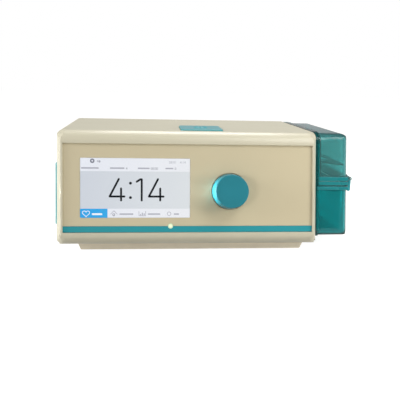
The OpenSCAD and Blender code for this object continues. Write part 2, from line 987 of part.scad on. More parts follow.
// Path of the pressure duct: along, up, and out to the dock port
module duct_path(r) {
    translate([duct_start, port_y, duct_z])
        rotate([0, 90, 0])
            cylinder(r = r, h = duct_turn_x - duct_start);
    translate([duct_turn_x, port_y, duct_z])
        sphere(r);
    translate([duct_turn_x, port_y, duct_z])
        cylinder(r = r, h = port_z - duct_z);
    translate([duct_turn_x, port_y, port_z])
        sphere(r);
    translate([duct_turn_x, port_y, port_z])
        rotate([0, 90, 0])
            cylinder(r = r, h = seal_start - duct_turn_x);
}

module pressure_duct() {
    color("#6f7c80")
        difference() {
            duct_path(duct_r + duct_wall);
            duct_path(duct_r);
            for (x = [duct_start - 5, seal_start - eps])
                translate([x, port_y, x < duct_turn_x ? duct_z : port_z])
                    rotate([0, 90, 0])
                        cylinder(r = duct_r, h = 5 + eps);
        }
}

module flow_sensor() {
    color("#3a4a66")
        difference() {
            block([sensor_x, port_y - sensor_half_w, duct_z + duct_r - duct_wall],
                  [sensor_x + sensor_len, port_y + sensor_half_w, duct_z + duct_r + duct_wall + sensor_h]);
            translate([sensor_x - 1, port_y, duct_z])
                rotate([0, 90, 0])
                    cylinder(r = duct_r + duct_wall + seat_gap, h = sensor_len + 2);
        }
}

// Power board on four posts of the base tray
power_x = [blower_x + mount_ring_r + mount_r + 12, hatch_x[1] - 4];
power_y = [50, 100];
power_z = floor_top + 4.5;
post_inset = 4;
power_post_x = [power_x[0] + post_inset, power_x[1] - post_inset];
power_post_y = [power_y[0] + post_inset, power_y[1] - post_inset];
capacitor_r = 5;
capacitor_h = 18;
coil_size = [32, 20, 10];
coil_at = [10, 6];
sink_size = [17, 30, 14];
sink_at = [2, 10];

module power_board() {
    color("#2f6b46") {
        block([power_x[0], power_y[0], power_z], [power_x[1], power_y[1], power_z + board_t]);
        for (i = [1:3])
            translate([power_x[0] + 2.8 * capacitor_r * i, power_y[1] - 2.4 * capacitor_r, power_z + 1])
                cylinder(r = capacitor_r, h = capacitor_h);
        translate([power_x[0] + coil_at[0], power_y[0] + coil_at[1], power_z + 1])
            cube(coil_size);
        translate([power_x[1] - sink_size[0] - sink_at[0], power_y[0] + sink_at[1], power_z + 1])
            cube(sink_size);
    }
}

// Socket for the power plug at the back
inlet_x = 36;
inlet_z = 26;
inlet_r = 3.7;
inlet_nose_r = 5.5;
inlet_depth = 11;
inlet_half = 8;
inlet_body = 16;

module power_inlet() {
    back = case_back - wall;
    color("#24272a")
        difference() {
            union() {
                block([inlet_x - inlet_half, back - inlet_body, inlet_z - inlet_half],
                      [inlet_x + inlet_half, back - seat_gap, inlet_z + inlet_half]);
                translate([inlet_x, back - 1, inlet_z])
                    rotate([-90, 0, 0])
                        cylinder(r = inlet_nose_r, h = wall + 1);
            }
            translate([inlet_x, case_back - inlet_depth, inlet_z])
                rotate([-90, 0, 0])
                    cylinder(r = inlet_r, h = inlet_depth + 1);
        }
}

module dock_plate() {
    color("#b9b19a")
        difference() {
            union() {
                block([side_x - wall, dock_y[0], dock_z[0]], [side_x, dock_y[1], dock_z[1]]);
                block([side_x - wall - 2, dock_y[0] - dock_flange, dock_z[0] - 1],
                      [side_x - wall - seat_gap, dock_y[1] + dock_flange, dock_z[1] + 1]);
                block([side_x - wall - 1, dock_y[0], dock_z[0]],
                      [side_x - wall + 1, dock_y[1], dock_z[1]]);
                for (p = peg_at)
                    translate([side_x - peg_len - 3, p[0], p[1]])
                        rotate([0, 90, 0])
                            cylinder(r = peg_r + 2.5, h = peg_len);
            }
            for (p = peg_at)
                translate([side_x - peg_len - 1, p[0], p[1]])
                    rotate([0, 90, 0])
                        cylinder(r = peg_r + pin_gap, h = peg_len + 5);
            translate([side_x - peg_len - 6, port_y, port_z])
                rotate([0, 90, 0])
                    cylinder(r = spigot_r + dock_seal_wall + fit_gap, h = 3 * peg_len);
            block([side_x - peg_len - 6, heater_y[0] - fit_gap, heater_z[0] - fit_gap],
                  [side_x + 1, heater_y[1] + fit_gap, heater_z[1] + fit_gap]);
        }
}

module dock_seal() {
    color("#3c4446")
        translate([seal_start, port_y, port_z])
            rotate([0, 90, 0])
                difference() {
                    cylinder(r = spigot_r + dock_seal_wall, h = side_x - seal_start - 0.3);
                    translate([0, 0, -1])
                        cylinder(r = spigot_r + run_gap, h = 3 * spigot_len);
                }
}

module heater_plate() {
    color("#aeb4b8")
        block([side_x - 3, heater_y[0], heater_z[0]], [side_x, heater_y[1], heater_z[1]]);
}

module heater_carrier() {
    color("#50565a")
        difference() {
            block([side_x - carrier_depth, heater_y[0] - 3, heater_z[0] - 1],
                  [side_x - wall - 2, heater_y[1] + 3, heater_z[1] + 1]);
            block([side_x - carrier_depth + carrier_wall, heater_y[0] + 2, heater_z[0] + 2],
                  [side_x, heater_y[1] - 2, heater_z[1] - 2]);
        }
}

// Side view of the water chamber, moved inwards by inset
module chamber_profile(inset) {
    leaning_profile(chamber_setback + inset / cos(lean), chamber_floor + inset,
                    chamber_top - inset, chamber_back - inset, chamber_foot_r - inset,
                    chamber_back_r - inset, chamber_back_r - inset, chamber_roll_r - inset);
}

// Outer form of the water chamber, moved inwards by inset, reaching from the case's side
module chamber_form(inset) {
    intersection() {
        along_x(side_x, chamber_x + 2)
            chamber_profile(inset);
        along_y(-far / 4, far)
            soft_rect([side_x - 20, chamber_floor + inset], [chamber_x - inset, chamber_top - inset],
                      [0, chamber_side_foot_r - inset, chamber_edge_r - inset, 0]);
        chamber_plan(inset);
        linear_extrude(far)
            chamber_back_plan(inset);
    }
}

// Outline of the chamber seen along its leaning front corner, drawn out up the slope
module chamber_plan(inset) {
    on_fascia(0, -60)
        translate([0, 0, -chamber_setback * cos(lean)])
            rotate([-90, 0, 0])
                linear_extrude(far)
                    soft_rect([side_x - 20, inset], [chamber_x - inset, far],
                              [0, chamber_corner_r - inset, 0, 0]);
}

// Outline of the chamber seen from above, for its back corner
module chamber_back_plan(inset) {
    soft_rect([side_x - 20, -far / 4], [chamber_x - inset, chamber_back - inset],
              [0, 0, chamber_back_corner_r - inset, 0]);
}

// Horizontal slice of the chamber between two heights, with straight walls
module chamber_slice(inset, z0, z1) {
    intersection() {
        chamber_plan(inset);
        translate([0, 0, z0])
            linear_extrude(z1 - z0)
                intersection() {
                    chamber_back_plan(inset);
                    translate([side_x + plate_t, -far / 4])
                        square(far);
                }
    }
}

// Band between two insets of the chamber's side view, above height z0
module chamber_band(outer, inner, z0, z1) {
    intersection() {
        difference() {
            chamber_profile(outer);
            chamber_profile(inner);
        }
        translate([0, z0])
            square([far, z1 - z0]);
    }
}

// Stretch of space above and below which tub and lid are divided
module between(z0, z1, x0) {
    block([x0, -20, z0], [chamber_x + 10, far, z1]);
}

module hinge_barrel(y0, y1, r) {
    translate([hinge_x, y0, hinge_z])
        rotate([-90, 0, 0])
            cylinder(r = r, h = y1 - y0);
}

module water_tub() {
    color([0.13, 0.46, 0.49, 0.8])
        difference() {
            union() {
                difference() {
                    union() {
                        intersection() {
                            chamber_form(0);
                            between(0, joint_z, side_x + plate_t - eps);
                        }
                        intersection() {
                            chamber_form(-rim_proud);
                            between(joint_z - tub_rim_h, joint_z, chamber_face_x);
                        }
                    }
                    intersection() {
                        chamber_form(chamber_wall);
                        between(0, far, side_x + plate_t - eps);
                    }
                }
                intersection() {
                    chamber_form(-plate_grow);
                    block([side_x, -20, 0], [side_x + plate_t, far, far]);
                }
                for (k = tub_knuckles) {
                    hinge_barrel(k[0] + knuckle_gap, k[1] - knuckle_gap, knuckle_r);
                    block([side_x + 1, k[0] + knuckle_gap, hinge_z - 1.2],
                          [hinge_x, k[1] - knuckle_gap, hinge_z + 1]);
                }
                for (p = peg_at)
                    translate([side_x - peg_len, p[0], p[1]])
                        rotate([0, 90, 0])
                            cylinder(r = peg_r, h = peg_len + 1);
                translate([side_x - spigot_len, port_y, port_z])
                    rotate([0, 90, 0])
                        cylinder(r = spigot_r, h = spigot_len + 1);
            }
            translate([side_x - 20, port_y, port_z])
                rotate([0, 90, 0])
                    cylinder(r = spigot_r - 2, h = 30);
            block([side_x - 1, heater_y[0], heater_z[0]], [side_x + 20, heater_y[1], heater_z[1]]);
            for (k = lid_knuckles)
                hinge_barrel(k[0] - knuckle_gap, k[1] + knuckle_gap, knuckle_r + run_gap);
            hinge_barrel(0, far, hinge_pin_r + 0.02);
        }
}

module tub_heat_plate() {
    color("#b9bec1")
        block([side_x + seat_gap, heater_y[0] + seat_gap, heater_z[0] + seat_gap],
              [side_x + plate_t - 0.4, heater_y[1] - seat_gap, heater_z[1] - seat_gap]);
}

module hinge_pin() {
    color("#aab0b4")
        hinge_barrel(lid_knuckles[0][0], lid_knuckles[2][1], hinge_pin_r);
}

lid_low = joint_z + seal_t;

module chamber_lid() {
    color([0.36, 0.6, 0.6, 0.7])
        difference() {
            union() {
                difference() {
                    union() {
                        intersection() {
                            chamber_form(0);
                            between(lid_low, far, chamber_face_x + seat_gap);
                        }
                        intersection() {
                            chamber_form(-rim_proud);
                            between(lid_low, lid_low + lid_rim_h, chamber_face_x + seat_gap);
                        }
                    }
                    difference() {
                        chamber_form(chamber_wall);
                        difference() {
                            block([side_x, 0, 0], [chamber_face_x + seat_gap + flange_t, far, far]);
                            chamber_form(chamber_wall + flange_w);
                        }
                    }
                    for (k = tub_knuckles)
                        hinge_barrel(k[0] - knuckle_gap, k[1] + knuckle_gap, knuckle_r + run_gap);
                }
                for (k = lid_knuckles) {
                    hinge_barrel(k[0] + knuckle_gap, k[1] - knuckle_gap, knuckle_r);
                    block([hinge_x, k[0] + knuckle_gap, hinge_z - 1.3],
                          [hinge_x + 4, k[1] - knuckle_gap, hinge_z + 0.1]);
                }
                for (y = latch_lugs)
                    latch_lug(y);
            }
            hinge_barrel(0, far, hinge_pin_r + pin_gap);
            translate([outlet_x, chamber_back - 10, outlet_z])
                rotate([-90, 0, 0])
                    cylinder(r = outlet_r - outlet_wall, h = 20);
            translate([latch_axis_x, 0, latch_axis_z])
                rotate([-90, 0, 0])
                    cylinder(r = latch_pin_r + 0.02, h = far);
        }
}

// Lugs on the lid's rim that hold the latch's pin, one past each end and one in the middle
latch_lugs = [latch_y[0] - 3.4, (latch_y[0] + latch_y[1]) / 2 - 1.5, latch_y[1] + 0.4];

module latch_lug(y) {
    translate([latch_axis_x, y, latch_axis_z])
        rotate([-90, 0, 0])
            cylinder(r = latch_t / 2, h = 3);
    block([chamber_x - 0.5, y, latch_axis_z - latch_t / 2 + 0.2],
          [latch_axis_x, y + 3, latch_axis_z + latch_t / 2 - 0.2]);
}

// Seal between tub and lid, which runs up the back plate along the lid's inner flange
module lid_seal() {
    inner = chamber_wall + flange_w - 0.2;
    plate_face = side_x + plate_t;
    color("#dfe6e4") {
        difference() {
            chamber_slice(0.5, joint_z, lid_low);
            chamber_slice(chamber_wall + 0.2, joint_z - 1, lid_low + 1);
        }
        along_x(plate_face, chamber_face_x)
            chamber_band(inner - 1.8, inner, joint_z, far);
        along_x(plate_face, plate_face + 3)
            chamber_band(0.5, inner, joint_z, lid_low);
    }
}

// Slanting plate inside the lid that keeps splashes away from the outlet
module chamber_baffle() {
    start_x = chamber_face_x + seat_gap + flange_t + seat_gap;
    right_z = baffle_left_z - baffle_fall;
    color([0.2, 0.45, 0.47, 0.8])
        intersection() {
            chamber_form(chamber_wall + seat_gap);
            difference() {
                along_y(0, far)
                    polygon([[start_x, baffle_left_z - baffle_t], [chamber_x, right_z - baffle_t],
                             [chamber_x, right_z], [start_x, baffle_left_z]]);
                block([side_x, baffle_gap_y[0], 0], [chamber_x - 8, baffle_gap_y[1], far]);
            }
        }
}

module outlet_cone() {
    color("#e9eceb")
        translate([outlet_x, chamber_back, outlet_z])
            rotate([-90, 0, 0])
                difference() {
                    union() {
                        cylinder(r = outlet_r, h = outlet_len);
                        cylinder(r = outlet_r + 1.6, h = 2);
                        translate([0, 0, -chamber_wall])
                            cylinder(r = outlet_r - outlet_wall - 0.02, h = chamber_wall + 1);
                    }
                    translate([0, 0, -10])
                        cylinder(r = outlet_r - outlet_wall - 1.4, h = far);
                }
}

module latch_pin() {
    color("#aab0b4")
        translate([latch_axis_x, latch_lugs[0], latch_axis_z])
            rotate([-90, 0, 0])
                cylinder(r = latch_pin_r, h = latch_lugs[2] + 3 - latch_lugs[0]);
}

module lid_latch() {
    mid = latch_lugs[1];
    color([0.2, 0.52, 0.55, 0.9])
        difference() {
            union() {
                translate([latch_axis_x, latch_y[0], latch_axis_z])
                    rotate([-90, 0, 0])
                        cylinder(r = latch_t / 2, h = latch_y[1] - latch_y[0]);
                along_y(latch_y[0], latch_y[1])
                    soft_rect([latch_axis_x - latch_t / 2, latch_low],
                              [latch_axis_x + latch_t / 2, latch_axis_z], [0, 1.1, 0, 0]);
                block([chamber_x + 0.4, latch_y[0] + 30, latch_low],
                      [latch_axis_x, latch_y[1] - 30, tooth_top]);
            }
            block([chamber_x, mid - run_gap, latch_axis_z - 2.2],
                  [right_end + 1, mid + 3 + run_gap, latch_axis_z + 3]);
            translate([latch_axis_x, 0, latch_axis_z])
                rotate([-90, 0, 0])
                    cylinder(r = latch_pin_r + pin_gap, h = far);
        }
}

placed() {
    upper_case();
    base_tray();
    rubber_feet();
    case_screws();
    fascia_panel();
    trim_stripe();
    status_lamp();
    display_window();
    lcd_module();
    control_board();
    encoder_body();
    encoder_plunger();
    encoder_shaft();
    control_knob();
    start_button();
    button_board();
    button_switch();
    filter_cover();
    filter_foam();
    inlet_muffler();
    muffler_foam();
    blower_base();
    blower_cover();
    blower_motor();
    motor_shaft();
    impeller();
    blower_mounts();
    pressure_duct();
    flow_sensor();
    power_board();
    power_inlet();
    dock_plate();
    dock_seal();
    heater_plate();
    heater_carrier();
    water_tub();
    tub_heat_plate();
    hinge_pin();
    chamber_lid();
    lid_seal();
    chamber_baffle();
    outlet_cone();
    latch_pin();
    lid_latch();
}
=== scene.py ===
# %% [markdown]
# A bedside airway pressure machine. Its cream case leans back at the front, with a small lit
# display, a teal press-and-turn knob and a teal stripe. A teal start button sits on the top, a
# filter cover on the left side, and a see-through water chamber docks on the right side.
# The measured solids come first, as a frame. The pieces that are seen are then modelled or
# refined around them, in metres and in the same place.
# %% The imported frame
import json
import math

import bmesh
import bpy
from mathutils import Matrix, Vector

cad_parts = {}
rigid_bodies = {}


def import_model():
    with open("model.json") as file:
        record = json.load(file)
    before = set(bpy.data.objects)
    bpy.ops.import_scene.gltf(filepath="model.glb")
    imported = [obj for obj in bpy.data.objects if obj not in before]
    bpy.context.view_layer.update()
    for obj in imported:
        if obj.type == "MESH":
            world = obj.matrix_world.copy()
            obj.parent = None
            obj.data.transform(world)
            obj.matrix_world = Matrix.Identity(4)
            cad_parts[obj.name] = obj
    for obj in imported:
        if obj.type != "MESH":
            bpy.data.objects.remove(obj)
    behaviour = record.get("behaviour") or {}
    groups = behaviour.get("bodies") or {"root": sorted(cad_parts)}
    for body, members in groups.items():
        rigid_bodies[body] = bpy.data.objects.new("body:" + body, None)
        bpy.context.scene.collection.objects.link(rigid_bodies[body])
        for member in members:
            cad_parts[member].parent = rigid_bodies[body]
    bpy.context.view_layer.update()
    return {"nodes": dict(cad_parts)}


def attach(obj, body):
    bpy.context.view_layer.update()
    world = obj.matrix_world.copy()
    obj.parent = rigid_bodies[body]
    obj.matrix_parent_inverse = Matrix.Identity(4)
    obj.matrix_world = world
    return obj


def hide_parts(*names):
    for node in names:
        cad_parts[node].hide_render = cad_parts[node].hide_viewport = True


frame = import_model()
nodes = frame["nodes"]

# %% [markdown]
# The machine was measured from the left foot of its fascia: x to the right, y back and z up, in
# millimetres. Two helpers bring such measures into the frame. The fascia leans back by 12
# degrees, so most of what sits on it is drawn flat, with x across, y up the slope and z out of
# it, and is then laid on the slope by one matrix. On that drawing, places across end in _U and
# places up the slope in _V.
# %% Measures and the leaning fascia
MM = 0.001
LEAN = math.radians(12)
CORNER = Vector((-129.45, -85.288, 0)) * MM


def at(x, y, z):
    """A place on the machine, measured in millimetres from the left foot of the fascia."""
    return CORNER + Vector((x, y, z)) * MM


FASCIA = Matrix.Translation(CORNER) @ Matrix.Rotation(math.radians(90) - LEAN, 4, "X")

FRONT_W = 222.2
CASE_TOP = 105.5
STRIPE_V = 20.3
STRIPE_H = 5.3
STRIPE_TOP = STRIPE_V + STRIPE_H
FASCIA_TOP = 96.8
LAMP_U = 94.0
KNOB_U = 146.2
KNOB_V = 56.1
DISPLAY = (16.1, 32.9, 111.1, 84.7)
DISPLAY_W = DISPLAY[2] - DISPLAY[0]
DISPLAY_H = DISPLAY[3] - DISPLAY[1]
print("fascia normal:", [round(c, 3) for c in FASCIA.to_3x3() @ Vector((0, 0, 1))])

# %% [markdown]
# The camera stands where the picture was taken: a little right of the display's middle, about
# 45 cm away and 15 cm above the table, looking down by 13 degrees. Its place, turn and lens come
# from a fit to thirty corners and edges of the machine. A camera looks along its own -Z with +Y
# up, so its matrix is built from the right, up and back directions.
# %% Camera
CAMERA_YAW = math.radians(5.860)
CAMERA_PITCH = math.radians(-12.981)
CAMERA_ROLL = math.radians(1.413)
CAMERA_PLACE = at(72.81, -447.77, 153.51)
CAMERA_LENS = 48.43

ahead = Vector((math.sin(CAMERA_YAW) * math.cos(CAMERA_PITCH),
                math.cos(CAMERA_YAW) * math.cos(CAMERA_PITCH),
                math.sin(CAMERA_PITCH)))
level = Vector((math.cos(CAMERA_YAW), -math.sin(CAMERA_YAW), 0))
above = level.cross(ahead)
right = level * math.cos(CAMERA_ROLL) + above * math.sin(CAMERA_ROLL)
up = above * math.cos(CAMERA_ROLL) - level * math.sin(CAMERA_ROLL)

bpy.ops.object.camera_add(location=CAMERA_PLACE)
camera = bpy.context.object
camera.name = "camera"
camera.rotation_euler = Matrix((right, up, -ahead)).transposed().to_euler()
camera.data.sensor_width = 36
camera.data.lens = CAMERA_LENS
camera.data.clip_start = 0.01
bpy.context.scene.camera = camera
print("camera at", [round(c, 3) for c in camera.location])

# %% [markdown]
# The machine stands on a studio table under a soft, even sky. A Light Path node tells what is
# seen from the light that falls on the machine. The camera sees a white sky. Gloss and clear
# plastic see it white only near the horizon, under a dimmer ceiling, because a white one would
# turn the teal pieces grey.
# %% Studio sky
SKY_LIGHT = 0.33
WHITE = (1, 1, 1, 1)


def wire(tree, source, target):
    """Links one socket to another."""
    tree.links.new(source, target)


def tune(node, **values):
    """Sets a node's own sockets by name, with _ for a space."""
    for label, value in values.items():
        node.inputs[label.replace("_", " ")].default_value = value


def sums(tree, operation, a, b):
    """A math node on sockets or numbers."""
    node = tree.nodes.new("ShaderNodeMath")
    node.operation = operation
    for socket, value in zip(node.inputs, (a, b)):
        if isinstance(value, (int, float)):
            socket.default_value = value
        else:
            wire(tree, value, socket)
    return node.outputs[0]


def background_rays(tree):
    """A mask: 1 for what the camera, gloss and clear plastic see, and 0 for other light."""
    path = tree.nodes.new("ShaderNodeLightPath")
    mask = path.outputs["Is Camera Ray"]
    for kind in ("Is Glossy Ray", "Is Transmission Ray"):
        mask = sums(tree, "MAXIMUM", mask, path.outputs[kind])
    return mask


world = bpy.data.worlds.new("studio sky")
bpy.context.scene.world = world
world.use_nodes = True
sky = world.node_tree
sky.nodes.clear()
sky_light = sky.nodes.new("ShaderNodeBackground")
tune(sky_light, Color=WHITE, Strength=SKY_LIGHT)
sky_seen = sky.nodes.new("ShaderNodeBackground")
tune(sky_seen, Color=WHITE)
sky_rise = sky.nodes.new("ShaderNodeSeparateXYZ")
wire(sky, sky.nodes.new("ShaderNodeTexCoord").outputs["Generated"], sky_rise.inputs[0])
sky_ceiling = sky.nodes.new("ShaderNodeMapRange")
tune(sky_ceiling, From_Min=0.02, From_Max=0.12, To_Min=1.0, To_Max=0.22)
wire(sky, sky_rise.outputs["Z"], sky_ceiling.inputs["Value"])
camera_ray = sky.nodes.new("ShaderNodeLightPath").outputs["Is Camera Ray"]
wire(sky, sums(sky, "MAXIMUM", sky_ceiling.outputs[0], camera_ray), sky_seen.inputs["Strength"])
sky_mix = sky.nodes.new("ShaderNodeMixShader")
wire(sky, background_rays(sky), sky_mix.inputs[0])
wire(sky, sky_light.outputs[0], sky_mix.inputs[1])
wire(sky, sky_seen.outputs[0], sky_mix.inputs[2])
sky_out = sky.nodes.new("ShaderNodeOutputWorld")
wire(sky, sky_mix.outputs[0], sky_out.inputs["Surface"])
print("sky nodes:", len(sky.nodes))

# %% [markdown]
# The window light stands far off in front, on the left. The side light grazes the front, so that
# the left side is the brightest. The top light draws the bright band along the rolled edge, and
# the back light lifts the flat top. The right light fills the right end, and is kept out of
# reflections, where it would draw a line down the corner of the lid. A narrow spot runs along
# the fascia and lights the left of the knob alone. The floor is one large plane.
# %% Lamps and floor
def lamp(name, place, target, size, watts, tint):
    """A square soft lamp that looks at a target."""
    bpy.ops.object.light_add(type="AREA", location=place)
    light = bpy.context.object
    light.name = name
    light.data.size = size
    light.data.energy = watts
    light.data.color = tint
    light.rotation_euler = (Vector(target) - Vector(place)).to_track_quat("-Z", "Y").to_euler()
    return light


lamp("window light", (-1.22, -1.63, 0.26), (0.02, -0.07, 0.06), 0.45, 7.6, (1.0, 0.99, 0.96))
lamp("side light", (-0.95, -0.12, 0.25), (0, 0, 0.06), 0.40, 7.8, (1.0, 1.0, 0.98))
lamp("top light", (0.40, -0.46, 0.84), (0.06, 0, 0.08), 0.50, 4.2, (1.0, 0.99, 0.96))
right_lamp = lamp("right light", (0.62, -0.36, 0.22), (0.09, -0.06, 0.06), 0.30, 2.9,
                  (1.0, 0.98, 0.94))
right_lamp.visible_glossy = False
lamp("back light", (0.06, 0.42, 0.80), (0.02, 0, 0.10), 0.50, 4.6, (1.0, 1.0, 0.98))

knob_place = Vector((0.002, -0.0805, 0.0563))
bpy.ops.object.light_add(type="SPOT", location=(-0.55, -0.098, 0.057))
glint = bpy.context.object
glint.name = "knob light"
glint.data.energy = 88.0
glint.data.spot_size = math.radians(2.5)
glint.data.spot_blend = 0.9
glint.data.shadow_soft_size = 0.005
glint.rotation_euler = (knob_place - glint.location).to_track_quat("-Z", "Y").to_euler()

bpy.ops.mesh.primitive_plane_add(size=8, location=(0, 0, 0))
floor = bpy.context.object
floor.name = "studio_floor"

# %% [markdown]
# Small helpers do what a hand does in edit mode. An operator acts on everything selected, so a
# piece is first made the only selection, and the faces, edges or points to work on are then
# chosen by their place or direction.
# %% Selecting helpers
def hold_none():
    """Leaves edit mode and deselects everything."""
    if bpy.context.object and bpy.context.object.mode != "OBJECT":
        bpy.ops.object.mode_set(mode="OBJECT")
    bpy.ops.object.select_all(action="DESELECT")


def hold(piece):
    """Makes a piece the only selection."""
    hold_none()
    piece.select_set(True)
    bpy.context.view_layer.objects.active = piece


def choose(piece, kind, test):
    """Enters edit mode and selects the FACE, EDGE or VERT elements that pass the test."""
    hold(piece)
    bpy.ops.object.mode_set(mode="EDIT")
    bpy.ops.mesh.select_mode(type="VERT")
    bpy.ops.mesh.select_all(action="DESELECT")
    bpy.ops.mesh.select_mode(type=kind)
    shape = bmesh.from_edit_mesh(piece.data)
    shape.normal_update()
    for element in {"VERT": shape.verts, "EDGE": shape.edges, "FACE": shape.faces}[kind]:
        if test(element):
            element.select_set(True)
    shape.select_flush_mode()
    bmesh.update_edit_mesh(piece.data)


def done(piece):
    """Leaves edit mode."""
    bpy.ops.object.mode_set(mode="OBJECT")
    return piece


def upright(edge):
    """True for an edge that runs along z."""
    return abs((edge.verts[1].co - edge.verts[0].co).normalized().z) > 0.999


def middle(edge):
    """The point halfway along an edge."""
    return (edge.verts[0].co + edge.verts[1].co) / 2


# %% [markdown]
# A block gets its scale applied at once, so that its bevels are even. It is shaped flat, and its
# mesh is then moved into place, while its object stays at the origin.
# %% Shaping helpers
def slab(name, low, high):
    """A block between two corners given in millimetres, drawn flat before it is laid in place."""
    low = Vector(low) * MM
    high = Vector(high) * MM
    hold_none()
    bpy.ops.mesh.primitive_cube_add(size=1, location=(low + high) / 2)
    piece = bpy.context.object
    piece.name = name
    piece.scale = high - low
    bpy.ops.object.transform_apply(location=True, rotation=False, scale=True)
    return piece


def round_edges(piece, width, segments, test):
    """Bevels the edges that pass the test, width in millimetres."""
    choose(piece, "EDGE", test)
    bpy.ops.mesh.bevel(offset=width * MM, segments=segments, affect="EDGES")
    return done(piece)


def round_columns(piece, width, segments):
    """Rounds the four upright edges of a block."""
    return round_edges(piece, width, segments, upright)


def lay(piece, matrix):
    """Moves a piece's mesh by a matrix and leaves its object at the origin."""
    piece.data.transform(matrix)
    piece.data.update()
    return piece


def shift(piece, vector):
    """Moves a piece's mesh by a vector."""
    return lay(piece, Matrix.Translation(vector))


# %% [markdown]
# A moulded piece has a small radius on its sharp edges, put on by a Bevel modifier. Its large
# faces keep their own direction in the shading, by weighted normals, or those radii would bend
# the light over the whole face. A finished piece gets its material, and rides on a body.
# %% Finishing helpers
def modify(piece, kind, **settings):
    """Adds a modifier, sets it and applies it."""
    hold(piece)
    modifier = piece.modifiers.new(kind.lower(), kind)
    for key, value in settings.items():
        setattr(modifier, key, value)
    bpy.ops.object.modifier_apply(modifier=modifier.name)
    return piece


def smooth(piece, angle=35):
    """Shades a piece smooth, but for edges sharper than the angle, and keeps large faces flat."""
    hold(piece)
    bpy.ops.object.shade_smooth_by_angle(angle=math.radians(angle))
    return modify(piece, "WEIGHTED_NORMAL", keep_sharp=True)


def soften(piece, width, segments=2):
    """Rounds every sharp edge a little, as a mould does."""
    return modify(piece, "BEVEL", width=width * MM, segments=segments, limit_method="ANGLE",
                  angle_limit=math.radians(30), use_clamp_overlap=True)


def join(name, pieces):
    """Joins pieces into one object, in the order given."""
    hold(pieces[0])
    for piece in pieces:
        piece.select_set(True)
    if len(pieces) > 1:
        bpy.ops.object.join()
    pieces[0].name = name
    return pieces[0]


def carve(piece, cutter):
    """Cuts the cutter's shape out of a piece and deletes the cutter."""
    modify(piece, "BOOLEAN", operation="DIFFERENCE", solver="EXACT", object=cutter)
    bpy.data.objects.remove(cutter)
    return piece


def place(piece, body, material, slot, *stands_for):
    """Gives a finished piece its material and body, and hides the solids it stands for. The slot
    is not used.
    """
    piece.data.materials.clear()
    piece.data.materials.append(material)
    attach(piece, body)
    if stands_for:
        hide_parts(*stands_for)
    print(piece.name, "faces:", len(piece.data.polygons))
    return piece


# %% [markdown]
# Moulded plastic is never one flat colour. The tool that moulds it is spark-eroded, which leaves
# a fine even grain, and the colour drifts a little where the melt flowed. One node group makes
# both, for every moulded piece: it puts out a tone from 0 to 1, a roughness and a height. Each
# material sets how coarse and how deep its own grain is.
# %% Shader group: moulded skin
def new_group(name, numbers, results):
    """A shader group with named number inputs and typed outputs."""
    group = bpy.data.node_groups.new(name, "ShaderNodeTree")
    for label, value in numbers:
        socket = group.interface.new_socket(label, in_out="INPUT", socket_type="NodeSocketFloat")
        socket.default_value = value
    for label, kind in results:
        group.interface.new_socket(label, in_out="OUTPUT", socket_type=kind)
    start = group.nodes.new("NodeGroupInput")
    end = group.nodes.new("NodeGroupOutput")
    return group, start, end


def own_place(tree):
    """The coordinates that stay fixed to a piece."""
    return tree.nodes.new("ShaderNodeTexCoord").outputs["Object"]


def noise(tree, where, scale, detail, rough):
    """A noise texture on a coordinate socket, with a number or a socket as its scale."""
    node = tree.nodes.new("ShaderNodeTexNoise")
    wire(tree, where, node.inputs["Vector"])
    if isinstance(scale, (int, float)):
        tune(node, Scale=scale)
    else:
        wire(tree, scale, node.inputs["Scale"])
    tune(node, Detail=detail, Roughness=rough)
    return node.outputs["Fac"]


skin, skin_in, skin_out = new_group(
    "moulded skin",
    [("Grain scale", 1400.0), ("Grain depth", 0.3), ("Base roughness", 0.4),
     ("Roughness spread", 0.1), ("Flow scale", 9.0)],
    [("Tone", "NodeSocketFloat"), ("Roughness", "NodeSocketFloat"), ("Height", "NodeSocketFloat")])
skin_place = own_place(skin)
skin_flow = noise(skin, skin_place, skin_in.outputs["Flow scale"], 3.0, 0.45)
skin_grain = noise(skin, skin_place, skin_in.outputs["Grain scale"], 2.0, 0.6)
skin_wipe = noise(skin, skin_place, 46.0, 4.0, 0.62)
wire(skin, skin_flow, skin_out.inputs["Tone"])
skin_part = sums(skin, "MULTIPLY", sums(skin, "SUBTRACT", skin_wipe, 0.5),
                 skin_in.outputs["Roughness spread"])
wire(skin, sums(skin, "ADD", skin_part, skin_in.outputs["Base roughness"]),
     skin_out.inputs["Roughness"])
wire(skin, sums(skin, "MULTIPLY", skin_grain, skin_in.outputs["Grain depth"]),
     skin_out.inputs["Height"])
print("group:", skin.name)

# %% [markdown]
# A second group paints shade near the foot: a mask from the height above the table and a slow
# noise, darker towards the table, for the cream pieces.
# %% Shader group: painted foot shade
foot_shade, foot_shade_in, foot_shade_out = new_group(
    "painted foot shade",
    [("Reach", 0.02), ("Strength", 0.1)],
    [("Mask", "NodeSocketFloat")])
foot_shade_place = own_place(foot_shade)
foot_shade_split = foot_shade.nodes.new("ShaderNodeSeparateXYZ")
wire(foot_shade, foot_shade_place, foot_shade_split.inputs[0])
foot_shade_fade = foot_shade.nodes.new("ShaderNodeMapRange")
wire(foot_shade, foot_shade_split.outputs["Z"], foot_shade_fade.inputs["Value"])
wire(foot_shade, foot_shade_in.outputs["Reach"], foot_shade_fade.inputs["From Max"])
tune(foot_shade_fade, From_Min=0.0, To_Min=1.0, To_Max=0.0)
foot_shade_cloud = noise(foot_shade, foot_shade_place, 60.0, 3.0, 0.6)
wire(foot_shade, sums(foot_shade, "MULTIPLY", sums(foot_shade, "MULTIPLY", foot_shade_fade.outputs[0], foot_shade_cloud),
                foot_shade_in.outputs["Strength"]), foot_shade_out.inputs["Mask"])
print("group:", foot_shade.name)

# %% [markdown]
# Every finish starts from a Principled shader. A few helpers place a group, blend two colours by
# a mask, and turn a height into bent normals.
# %% Material helpers
def principled(name):
    """A new material with its Principled shader."""
    material = bpy.data.materials.new(name)
    material.use_nodes = True
    return material, material.node_tree, material.node_tree.nodes["Principled BSDF"]


